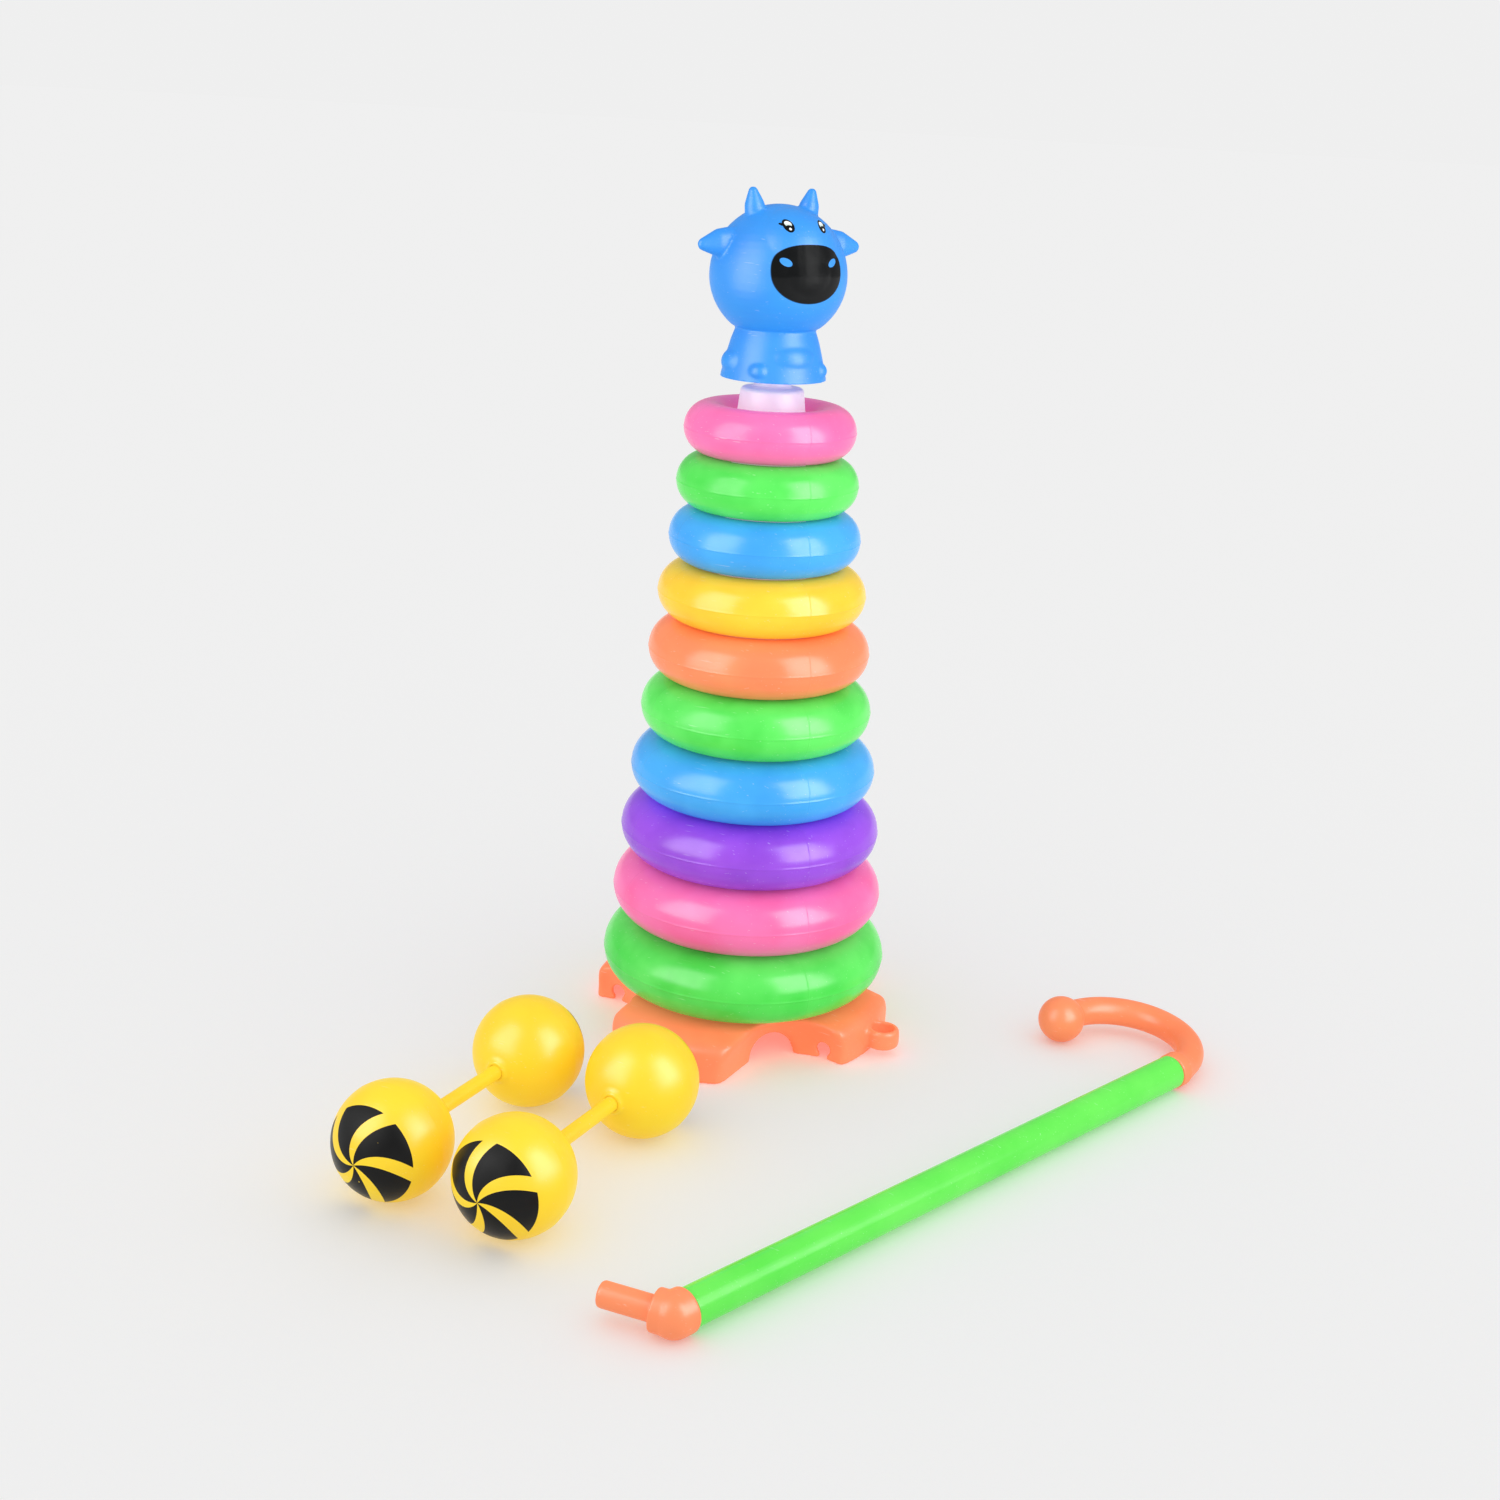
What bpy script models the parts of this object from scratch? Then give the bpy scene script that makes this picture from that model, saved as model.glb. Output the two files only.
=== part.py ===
"""Stacking ring toy: a cone of ten hollow rings on a pole, on a base that can be wheeled.

Beside the tower lie two wheelsets that clip under the base, and a stick whose peg hooks into
the base's pull loop, so that the tower can be pulled along. Metres, +Z up. The origin is on the
floor, on the pole's axis, and +X runs through the pull loop.
"""

import math

import bmesh
import bpy
from mathutils import Matrix, Vector

MM = 0.001
GAP = 0.3 * MM                      # left between neighbours that touch
CHAMFER = 1 * MM

# Base: an oval cap, open underneath, with a ball well at each corner
BASE_HALF_LENGTH = 87 * MM          # along X, where the wheels' axles cross
BASE_HALF_WIDTH = 97.5 * MM
DECK_HEIGHT = 24 * MM               # the bottom ring sits here
DECK_RADIUS = 74 * MM
RIM_DROP = 2.2 * MM                 # how far the top slopes down to its rounded rim
RIM_ROUND = 7 * MM
BASE_WALL = 2.5 * MM
CENTRE_FOOT_RADIUS = 16 * MM
POLE_SPIGOT_HEIGHT = 10 * MM
ARCH_RADIUS = 13.5 * MM
ARCH_TURN = math.radians(44)        # the arches face the corners
ARCH_START = 45 * MM                # from the pole's axis, inside the wells' walls
LOOP_RADIUS = 9.7 * MM
LOOP_REACH = 6.5 * MM               # from the base's end to the loop's centre
LOOP_BOTTOM = 4.2 * MM
LOOP_THICKNESS = 11.6 * MM
LOOP_EDGE = 1.5 * MM

# Wheelsets
BALL_RADIUS = 30 * MM
BALL_WALL = 1.8 * MM
BALL_SPACING = 116 * MM             # centre to centre
BALL_SIDE_PLAY = 1 * MM             # between a ball and the wall it runs beside
AXLE_RADIUS = 4 * MM
AXLE_PLAY = 0.3 * MM
AXLE_HEIGHT = 5.8 * MM              # of the clips above the base's feet
AXLE_HEAD_RADIUS = 5.6 * MM
AXLE_HEAD_LENGTH = 6 * MM
HUB_RADIUS = 6 * MM
HUB_LENGTH = 22 * MM
HUB_BOSS = 0.8 * MM                 # how far the hub stands out of the ball
WHEELBASE = 138 * MM
WELL_PLAY = 3.4 * MM                # between a ball and its well, away from the axle
CLIP_SLOT = 5.2 * MM                # narrower than the axle, which snaps through it
WHEELSET_CENTRES = {"a": Vector((-41.9, -220.4)) * MM, "b": Vector((26.7, -216.1)) * MM}

# Pole: two tapered tubes, one on the other
POLE_FOOT_RADIUS = 39.5 * MM
POLE_SHOULDER_RADIUS = 18.6 * MM
COLLAR_TOP_RADIUS = 17.4 * MM
COLLAR_HEIGHT = 13 * MM
COLLAR_SUNK = 4.3 * MM              # of the collar, inside the top ring
COLLAR_ROUND = 2.4 * MM
NECK_RADIUS = 10 * MM
NECK_HEIGHT = 25 * MM
POLE_WALL = 2.2 * MM
POLE_JOINT_HEIGHT = 196 * MM
POLE_JOINT_LAP = 14 * MM

# Rings, from the bottom up
RING_DIAMETERS = [size * MM for size in (165, 156, 149, 140, 131, 125, 117, 107, 101, 95)]
BOTTOM_RING_HALF_HEIGHT = 19.6 * MM
TOP_RING_HALF_HEIGHT = 14.1 * MM
RING_WALL = 1.6 * MM
RING_PLAY = 1.2 * MM                # all round, between a ring's bore and the pole
VENT_RADIUS = 2 * MM

# Topper: a hollow cow figure
FACE_TURN = math.radians(-34.5)     # where the face looks, from +X
FIGURE_LIFT = 3.6 * MM              # from the pole's shoulder to the figure's underside
FIGURE_WALL = 2 * MM
SKIRT_RADIUS = 29.2 * MM
SKIRT_EDGE = 2 * MM
SKIRT_HEIGHT = 8 * MM
WAIST_RADIUS = 23 * MM
BODY_HEIGHT = 26 * MM
HEAD_RADIUS = 36.7 * MM
HEAD_HEIGHT = 68 * MM
HEAD_SUNK = 1 * MM                  # into the body
EAR_SPAN = 98 * MM                  # tip to tip
EAR_LENGTH = 21 * MM
EAR_RADIUS = 7.8 * MM
EAR_TIP_RADIUS = 3.5 * MM
EAR_RISE = 13 * MM                  # above the head's centre
EAR_DROOP = math.radians(3)
HORN_SPREAD = 34 * MM
HORN_LENGTH = 20 * MM
HORN_RADIUS = 6 * MM
HORN_TIP_RADIUS = 2.4 * MM
HORN_RISE = 8 * MM                  # of the tips above the crown
PAW_RADIUS = 6 * MM
PAW_REACH = 24.5 * MM               # from the axis to a paw's centre
PAW_TURN = math.radians(48)         # from the face, and from the back
VENT_REACH = 18 * MM                # of the underside's vent, behind the axis

# Stick
TUBE_RADIUS = 9.4 * MM
TUBE_WALL = 1.2 * MM
TUBE_LENGTH = 368 * MM
TUBE_TURN = math.radians(72.2)      # from +X, looking from the elbow to the handle
TUBE_FAR_END = Vector((249.3, 50.4)) * MM
PLUG_LENGTH = 24 * MM
COLLAR_LENGTH = 7 * MM
COLLAR_STEP = 0.5 * MM              # collar over tube
HOOK_RADIUS = 38.8 * MM
HOOK_ROD_RADIUS = 8.4 * MM
HOOK_TAIL = 7 * MM                  # straight, from the bend to the knob's centre
KNOB_RADIUS = 13.5 * MM
ELBOW_RADIUS = 10.9 * MM
ELBOW_EDGE = 0.6 * MM
ELBOW_TURN = math.radians(116.4)    # of the peg, from the tube's own direction
PEG_RADIUS = 6.2 * MM
PEG_PLAY = 0.4 * MM                 # all round, in the pull loop
PEG_LENGTH = 36 * MM                # from the elbow's centre to the tip

# Sides of the faceted rounds
BASE_SIDES = 40
ROUND = 24                          # of a turned piece
BALL_SIDES = 20
WELL_SIDES = 18
HOLE_SIDES = 12
RING_SECTION_SIDES = 8
CORE_SECTION_SIDES = 6
HOOK_STEPS = 14
BALL_STEPS = 7
CAP_STOP = 174                      # degrees: a ball end stops here, in a small flat

# Colours, in the order of the rings from the bottom up
PINK = (255, 110, 180)
GREEN = (84, 232, 86)
BLUE = (62, 156, 245)
YELLOW = (255, 214, 48)
ORANGE = (255, 140, 92)
PURPLE = (138, 70, 226)
FROSTED = (236, 226, 242)
RING_COLOURS = (GREEN, PINK, PURPLE, BLUE, GREEN, ORANGE, YELLOW, BLUE, GREEN, PINK)


# ---- shared by every piece -------------------------------------------------------------------

def finish(name, colour, roughness=0.35):
    """A moulded plastic in one sRGB colour, given as 0 to 255."""
    material = bpy.data.materials.new(name)
    material.use_nodes = True
    shader = material.node_tree.nodes["Principled BSDF"]
    linear = [(value / 255) ** 2.2 for value in colour]
    shader.inputs["Base Color"].default_value = (*linear, 1)
    shader.inputs["Roughness"].default_value = roughness
    shader.inputs["Metallic"].default_value = 0
    return material


def add_object(name, mesh_data, colour=None):
    """Turn a bmesh into a smooth-shaded object. Without a colour it is a cutter."""
    mesh = bpy.data.meshes.new(name)
    mesh_data.to_mesh(mesh)
    mesh_data.free()
    piece = bpy.data.objects.new(name, mesh)
    bpy.context.collection.objects.link(piece)
    if colour is None:
        piece.hide_render = True
        piece.display_type = "WIRE"
        return piece
    mesh.materials.append(finish(name, colour))
    mesh.shade_smooth()
    mesh.set_sharp_from_angle(angle=math.radians(35))
    return piece


def arc(centre, radius, start, stop, steps):
    """Points of a round stretch in a profile, angles in degrees from the outward radius."""
    points = []
    for step in range(steps + 1):
        angle = math.radians(start + (stop - start) * step / steps)
        points.append((centre[0] + radius * math.cos(angle), centre[1] + radius * math.sin(angle)))
    return points


def turned(profile, sides=ROUND, place=Matrix(), hollow=False):
    """Spin a profile of (radius, height) points round Z; a hollow one is closed on itself."""
    shape = bmesh.new()
    verts = [shape.verts.new((radius, 0, height)) for radius, height in profile]
    edges = [shape.edges.new(pair) for pair in zip(verts, verts[1:])]
    if hollow:
        edges.append(shape.edges.new((verts[-1], verts[0])))
    bmesh.ops.spin(shape, geom=verts + edges, axis=(0, 0, 1), cent=(0, 0, 0),
                   angle=math.tau, steps=sides, use_merge=True)
    bmesh.ops.remove_doubles(shape, verts=shape.verts, dist=1e-6)
    bmesh.ops.recalc_face_normals(shape, faces=shape.faces)
    bmesh.ops.transform(shape, matrix=place, verts=shape.verts)
    return shape


def boolean(piece, other, operation="DIFFERENCE", solver="EXACT"):
    """Cut or join; the base's many crossing cuts need the MANIFOLD solver to stay closed."""
    modifier = piece.modifiers.new(other.name, "BOOLEAN")
    modifier.operation = operation
    modifier.solver = solver
    modifier.object = other


def rod(radius, start, stop, sides=ROUND):
    """A plain round bar between two points."""
    start = Vector(start)
    along = Vector(stop) - start
    place = Matrix.Translation(start) @ along.to_track_quat("Z", "Y").to_matrix().to_4x4()
    profile = [(0, along.length), (radius, along.length), (radius, 0), (0, 0)]
    return turned(profile, sides, place)


def block(low, high):
    shape = bmesh.new()
    low = Vector(low)
    high = Vector(high)
    place = Matrix.Translation((low + high) / 2) @ Matrix.Diagonal((*(high - low), 1))
    bmesh.ops.create_cube(shape, size=1, matrix=place)
    return shape


# ---- base ------------------------------------------------------------------------------------

def cap_profile(inset):
    """The base's section through a side lobe, drawn in by a wall and open below when inset."""
    top = DECK_HEIGHT - inset
    edge = BASE_HALF_WIDTH - inset
    bend = RIM_ROUND - inset
    foot = -inset
    rim = arc((edge - bend, top - RIM_DROP - bend), bend, 80, 0, 3)
    return [(0, top), (DECK_RADIUS, top), *rim, (edge, foot), (0, foot)]


def well(name, side_x, side_y, grow):
    """The space of one ball: a ball end on a round tunnel that leaves along the axle."""
    radius = BALL_RADIUS + WELL_PLAY + grow
    beyond = BASE_HALF_WIDTH + 2 * BALL_RADIUS
    inner = BALL_SPACING / 2 - BALL_RADIUS - BALL_SIDE_PLAY
    tilt = Matrix.Rotation(math.pi / WELL_SIDES, 4, "Z")
    centre = Vector((side_x * WHEELBASE / 2, side_y * (inner + BALL_RADIUS + WELL_PLAY), AXLE_HEIGHT))
    outward = Matrix.Rotation(-side_y * math.pi / 2, 4, "X")
    nose = arc((0, 0), radius, -90, 0, 5)
    profile = [*nose, (radius, beyond), (0, beyond)]
    profile[0] = (0, -radius)
    return add_object(name, turned(profile, WELL_SIDES, Matrix.Translation(centre) @ outward @ tilt))


def shape_base(piece, other, operation="DIFFERENCE"):
    boolean(piece, other, operation, "MANIFOLD")


def make_base():
    """The oval cap, hollowed, with its wells, arches, clips, loops and the pole's spigot."""
    oval = Matrix.Diagonal((BASE_HALF_LENGTH / BASE_HALF_WIDTH, 1, 1, 1))
    base = add_object("base", turned(cap_profile(0), BASE_SIDES, oval), ORANGE)
    hollow = add_object("base_hollow", turned(cap_profile(BASE_WALL), BASE_SIDES, oval))
    foot = rod(CENTRE_FOOT_RADIUS, (0, 0, -2 * BASE_WALL), (0, 0, DECK_HEIGHT))
    shape_base(hollow, add_object("base_foot", foot))
    for side_x in (1, -1):
        for side_y in (1, -1):
            tag = f"{'front' if side_x > 0 else 'rear'}_{'left' if side_y > 0 else 'right'}"
            shape_base(hollow, well(f"well_wall_{tag}", side_x, side_y, BASE_WALL))
            shape_base(base, well(f"well_{tag}", side_x, side_y, 0))
            turn = Vector((side_x * math.cos(ARCH_TURN), side_y * math.sin(ARCH_TURN), 0))
            arch = rod(ARCH_RADIUS, turn * ARCH_START, turn * BASE_HALF_WIDTH)
            shape_base(base, add_object(f"arch_{tag}", arch))
    add_loop(base)
    shape_base(base, hollow)
    for side_x in (1, -1):
        add_clip(base, side_x)
    top = DECK_HEIGHT + POLE_SPIGOT_HEIGHT
    root = DECK_HEIGHT - BASE_WALL / 2
    outer = pole_radius(top) - POLE_WALL - GAP
    inner = outer - POLE_WALL
    profile = [(outer, top), (outer, root), (inner, root), (inner, top)]
    spigot = add_object("pole_spigot", turned(profile, hollow=True))
    shape_base(base, spigot, "UNION")
    return base


def add_loop(base):
    """The pull loop: an upright eye at the front end, where the stick's peg drops in."""
    x = BASE_HALF_LENGTH + LOOP_REACH
    top = LOOP_BOTTOM + LOOP_THICKNESS
    edge = LOOP_RADIUS - LOOP_EDGE
    profile = [(0, top), *arc((edge, top - LOOP_EDGE), LOOP_EDGE, 90, 0, 2),
               *arc((edge, LOOP_BOTTOM + LOOP_EDGE), LOOP_EDGE, 0, -90, 2), (0, LOOP_BOTTOM)]
    eye = turned(profile, place=Matrix.Translation((x, 0, 0)))
    shape_base(base, add_object("loop", eye), "UNION")
    hole = rod(PEG_RADIUS + PEG_PLAY, (x, 0, 0), (x, 0, DECK_HEIGHT), HOLE_SIDES)
    shape_base(base, add_object("loop_hole", hole))


def add_clip(base, side):
    """The holes that an axle snaps into from below, through both walls of an end lobe."""
    x = side * WHEELBASE / 2
    reach = BALL_SPACING / 2 - BALL_RADIUS / 2
    bore = AXLE_RADIUS + AXLE_PLAY
    hole = rod(bore, (x, -reach, AXLE_HEIGHT), (x, reach, AXLE_HEIGHT), HOLE_SIDES)
    shape_base(base, add_object(f"axle_hole_{side}", hole))
    slot = block((x - CLIP_SLOT / 2, -reach, -BASE_WALL), (x + CLIP_SLOT / 2, reach, AXLE_HEIGHT))
    shape_base(base, add_object(f"clip_slot_{side}", slot))


# ---- rings -----------------------------------------------------------------------------------

def ring_half_height(index):
    share = index / (len(RING_DIAMETERS) - 1)
    return BOTTOM_RING_HALF_HEIGHT + share * (TOP_RING_HALF_HEIGHT - BOTTOM_RING_HALF_HEIGHT)


def ring_height(index):
    """Height of a ring's middle, each ring lying on the one below."""
    height = DECK_HEIGHT + GAP + ring_half_height(0)
    for below in range(index):
        height += ring_half_height(below) + GAP + ring_half_height(below + 1)
    return height


def oval(middle, half_width, half_height, sides):
    """Points of an upright oval section, for a ring or for the hollow in it."""
    turns = [math.tau * side / sides for side in range(sides)]
    return [(middle + half_width * math.cos(turn), half_height * math.sin(turn)) for turn in turns]


def make_ring(index, colour):
    """A hollow ring, its bore a little wider than the pole at its own height, with one vent."""
    height = ring_height(index)
    half_height = ring_half_height(index)
    outside = RING_DIAMETERS[index] / 2
    bore = pole_radius(height) + RING_PLAY
    half_width = (outside - bore) / 2
    middle = outside - half_width
    name = f"ring_{index + 1:02d}"
    skin = oval(middle, half_width, half_height, RING_SECTION_SIDES)
    core = oval(middle, half_width - RING_WALL, half_height - RING_WALL, CORE_SECTION_SIDES)
    place = Matrix.Translation((0, 0, height))
    ring = add_object(name, turned(skin, hollow=True), colour)
    ring.location.z = height
    boolean(ring, add_object(f"{name}_core", turned(core, ROUND // 2, place, hollow=True)))
    start = place @ Vector((bore - RING_WALL, 0, 0))
    vent = rod(VENT_RADIUS, start, place @ Vector((middle, 0, 0)), HOLE_SIDES // 2)
    boolean(ring, add_object(f"{name}_vent", vent))
    return ring


# ---- pole ------------------------------------------------------------------------------------

def stack_top():
    last = len(RING_DIAMETERS) - 1
    return ring_height(last) + ring_half_height(last)


def collar_foot():
    """The taper ends just inside the top ring, where the collar begins."""
    return stack_top() - COLLAR_SUNK


def pole_radius(height):
    """Outside of the pole's straight taper at a height."""
    share = (height - DECK_HEIGHT) / (collar_foot() - DECK_HEIGHT)
    return POLE_FOOT_RADIUS + share * (POLE_SHOULDER_RADIUS - POLE_FOOT_RADIUS)


def make_pole_lower():
    """The wide half: it drops over the base's spigot and ends in a spigot of its own."""
    foot = DECK_HEIGHT + GAP
    joint = POLE_JOINT_HEIGHT
    lap = joint + POLE_JOINT_LAP
    spigot = pole_radius(lap) - POLE_WALL - GAP
    profile = [(spigot, lap), (spigot, joint), (pole_radius(joint), joint),
               (pole_radius(foot), foot), (pole_radius(foot) - POLE_WALL, foot),
               (pole_radius(joint) - 2 * POLE_WALL - GAP, joint - POLE_WALL),
               (spigot - POLE_WALL, lap)]
    return add_object("pole_lower", turned(profile, hollow=True), FROSTED)


def make_pole_upper():
    """The narrow half, closed at the top: collar, shoulder and the neck that holds the figure."""
    foot = POLE_JOINT_HEIGHT + GAP
    collar = collar_foot()
    shoulder = collar + COLLAR_HEIGHT
    top = shoulder + NECK_HEIGHT
    bend = COLLAR_TOP_RADIUS - COLLAR_ROUND
    profile = [(0, top), (NECK_RADIUS - CHAMFER, top), (NECK_RADIUS, top - CHAMFER),
               (NECK_RADIUS, shoulder + CHAMFER), (NECK_RADIUS + CHAMFER, shoulder),
               *arc((bend, shoulder - COLLAR_ROUND), COLLAR_ROUND, 90, 0, 3),
               (POLE_SHOULDER_RADIUS, collar), (pole_radius(foot), foot),
               (pole_radius(foot) - POLE_WALL, foot),
               (POLE_SHOULDER_RADIUS - POLE_WALL, collar),
               (NECK_RADIUS - POLE_WALL, shoulder - POLE_WALL),
               (NECK_RADIUS - POLE_WALL, top - POLE_WALL), (0, top - POLE_WALL)]
    return add_object("pole_upper", turned(profile), FROSTED)


# ---- topper ----------------------------------------------------------------------------------

def head_centre():
    shoulder = collar_foot() + COLLAR_HEIGHT
    return shoulder + FIGURE_LIFT + BODY_HEIGHT + HEAD_HEIGHT / 2 - HEAD_SUNK


def figure_profile(inset):
    """Half outline of head and body, from the crown down to the underside."""
    floor = collar_foot() + COLLAR_HEIGHT + FIGURE_LIFT
    edge = SKIRT_RADIUS - inset
    points = [(0, head_centre() + HEAD_HEIGHT / 2 - inset)]
    for x, y in arc((0, 0), 1, 90, -48, 10)[1:]:
        points.append(((HEAD_RADIUS - inset) * x, head_centre() + (HEAD_HEIGHT / 2 - inset) * y))
    return [*points, (WAIST_RADIUS - inset, floor + BODY_HEIGHT), (edge, floor + SKIRT_HEIGHT),
            (edge, floor + SKIRT_EDGE + inset), (edge - SKIRT_EDGE, floor + inset),
            (0, floor + inset)]


def cone_tip(length, radius, tip_radius, place):
    """A blunt cone, tip up, for an ear or a horn."""
    ball = arc((0, length - tip_radius), tip_radius, 90, 10, 2)
    ball[0] = (0, length)
    return turned([*ball, (radius, 0), (0, 0)], HOLE_SIDES, place)


def make_topper():
    """The figure: a hollow moulding that drops over the pole's neck on a blind socket."""
    shoulder = collar_foot() + COLLAR_HEIGHT
    floor = shoulder + FIGURE_LIFT
    topper = add_object("topper", turned(figure_profile(0)), BLUE)
    turn = Matrix.Rotation(FACE_TURN, 4, "Z")
    for side in (1, -1):
        ear_base = Vector((0, side * (EAR_SPAN / 2 - EAR_LENGTH), head_centre() + EAR_RISE))
        sideways = Matrix.Rotation(-side * (math.pi / 2 + EAR_DROOP), 4, "X")
        ear_place = turn @ Matrix.Translation(ear_base) @ sideways
        ear = cone_tip(EAR_LENGTH, EAR_RADIUS, EAR_TIP_RADIUS, ear_place)
        boolean(topper, add_object(f"ear_{side}", ear), "UNION")
        horn_top = head_centre() + HEAD_HEIGHT / 2 + HORN_RISE
        horn_base = Vector((0, side * HORN_SPREAD / 2, horn_top - HORN_LENGTH))
        horn_place = turn @ Matrix.Translation(horn_base)
        horn = cone_tip(HORN_LENGTH, HORN_RADIUS, HORN_TIP_RADIUS, horn_place)
        boolean(topper, add_object(f"horn_{side}", horn), "UNION")
        for end in (1, -1):
            paw = bmesh.new()
            x = end * PAW_REACH * math.cos(PAW_TURN)
            y = side * PAW_REACH * math.sin(PAW_TURN)
            paw_place = turn @ Matrix.Translation((x, y, floor + PAW_RADIUS))
            bmesh.ops.create_uvsphere(paw, u_segments=HOLE_SIDES, v_segments=HOLE_SIDES // 2,
                                      radius=PAW_RADIUS, matrix=paw_place)
            boolean(topper, add_object(f"paw_{side}_{end}", paw), "UNION")
    cavity = add_object("topper_cavity", turned(figure_profile(FIGURE_WALL), WELL_SIDES))
    socket_radius = NECK_RADIUS + GAP
    socket_top = shoulder + NECK_HEIGHT + GAP
    cup = rod(socket_radius + FIGURE_WALL, (0, 0, shoulder), (0, 0, socket_top + FIGURE_WALL))
    boolean(cavity, add_object("socket_wall", cup))
    boolean(topper, cavity)
    socket = rod(socket_radius, (0, 0, shoulder), (0, 0, socket_top))
    boolean(topper, add_object("socket", socket))
    spot = turn @ Vector((-VENT_REACH, 0, floor))
    rise = Vector((0, 0, 2 * FIGURE_WALL))
    vent = rod(VENT_RADIUS, spot - rise, spot + rise, HOLE_SIDES)
    boolean(topper, add_object("topper_vent", vent))
    return topper


# ---- wheelsets -------------------------------------------------------------------------------

def ball_profile():
    """A ball round its axle, which enters from below: shell, boss and a hub open inside."""
    bore = AXLE_RADIUS + AXLE_PLAY
    edge = math.asin(HUB_RADIUS / BALL_RADIUS)
    inner = BALL_RADIUS - BALL_WALL
    inner_edge = math.asin(HUB_RADIUS / inner)
    mouth = -BALL_RADIUS - HUB_BOSS
    skin = arc((0, 0), BALL_RADIUS, 90, math.degrees(edge) - 90, 8)
    skin[0] = (0, BALL_RADIUS)
    lining = arc((0, 0), inner, math.degrees(inner_edge) - 90, 90, 5)
    lining[-1] = (0, inner)
    return [*skin, (HUB_RADIUS, mouth), (bore, mouth), (bore, mouth + HUB_LENGTH),
            (HUB_RADIUS, mouth + HUB_LENGTH), *lining]


def make_wheelset(tag, centre):
    """An axle lying along Y between two balls, which turn on it and can't leave its heads."""
    half = BALL_SPACING / 2
    hub_end = half - BALL_RADIUS - HUB_BOSS + HUB_LENGTH
    head = hub_end + 2 * GAP
    tip = head + AXLE_HEAD_LENGTH
    side = [(0, tip), (AXLE_RADIUS, tip), (AXLE_HEAD_RADIUS, head + CHAMFER),
            (AXLE_HEAD_RADIUS, head), (AXLE_RADIUS, head)]
    profile = side + [(radius, -height) for radius, height in reversed(side)]
    middle = Matrix.Translation((*centre, BALL_RADIUS))
    axle = add_object(f"axle_{tag}", turned(profile, HOLE_SIDES), YELLOW)
    axle.matrix_world = middle @ Matrix.Rotation(-math.pi / 2, 4, "X")
    for name, sign in (("far", 1), ("near", -1)):
        ball = add_object(f"ball_{tag}_{name}", turned(ball_profile(), BALL_SIDES), YELLOW)
        outward = Matrix.Rotation(-sign * math.pi / 2, 4, "X")
        ball.matrix_world = middle @ Matrix.Translation((0, sign * half, 0)) @ outward


# ---- stick -----------------------------------------------------------------------------------

def stick_place():
    """Where the stick lies: on its elbow, on the handle's collar and on the knob."""
    collar = TUBE_RADIUS + COLLAR_STEP
    roll = math.asin((KNOB_RADIUS - collar) / (2 * HOOK_RADIUS))
    dip = math.asin((ELBOW_RADIUS - collar) / (TUBE_LENGTH + COLLAR_LENGTH))
    spot = Matrix.Translation((*TUBE_FAR_END, collar + GAP / 2))
    return spot @ Matrix.Rotation(TUBE_TURN, 4, "Z") @ Matrix.Rotation(dip, 4, "Y") \
        @ Matrix.Rotation(roll, 4, "X")


def skinned(stations, sides=16):
    """Bridge round sections along a path in the XY plane: (x, y, heading, radius) each."""
    shape = bmesh.new()
    rings = []
    for x, y, heading, radius in stations:
        place = Matrix.Translation((x, y, 0)) @ Matrix.Rotation(heading, 4, "Z") \
            @ Matrix.Rotation(math.pi / 2, 4, "Y")
        circle = bmesh.ops.create_circle(shape, segments=sides, radius=radius, matrix=place)
        rings.append(circle["verts"])
    for ring, following in zip(rings, rings[1:]):
        for side in range(sides):
            shape.faces.new((ring[side - 1], ring[side], following[side], following[side - 1]))
    shape.faces.new(rings[0])
    shape.faces.new(rings[-1])
    bmesh.ops.recalc_face_normals(shape, faces=shape.faces)
    return shape


def make_handle(parent):
    """A solid cane handle: plug, collar, half a turn to the left and a round knob."""
    plug = TUBE_RADIUS - TUBE_WALL - GAP
    collar = TUBE_RADIUS + COLLAR_STEP
    stations = [(-PLUG_LENGTH, 0, 0, plug - CHAMFER), (-PLUG_LENGTH + CHAMFER, 0, 0, plug),
                (GAP, 0, 0, plug), (GAP, 0, 0, collar), (COLLAR_LENGTH, 0, 0, collar)]
    for step in range(1, HOOK_STEPS + 1):
        heading = math.pi * step / HOOK_STEPS
        stations.append((COLLAR_LENGTH + HOOK_RADIUS * math.sin(heading),
                         HOOK_RADIUS * (1 - math.cos(heading)), heading, HOOK_ROD_RADIUS))
    knob = COLLAR_LENGTH - HOOK_TAIL
    first = math.degrees(math.asin(HOOK_ROD_RADIUS / KNOB_RADIUS))
    for x, radius in arc((knob, 0), KNOB_RADIUS, first, CAP_STOP, BALL_STEPS):
        stations.append((x, 2 * HOOK_RADIUS, math.pi, radius))
    handle = add_object("stick_handle", skinned(stations), ORANGE)
    handle.matrix_world = parent


def make_tube(parent):
    inner = TUBE_RADIUS - TUBE_WALL
    profile = [(TUBE_RADIUS, 0), (TUBE_RADIUS, -TUBE_LENGTH), (inner, -TUBE_LENGTH), (inner, 0)]
    tube = add_object("stick_tube", turned(profile, BALL_SIDES, hollow=True), GREEN)
    tube.matrix_world = parent @ Matrix.Rotation(math.pi / 2, 4, "Y")


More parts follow.
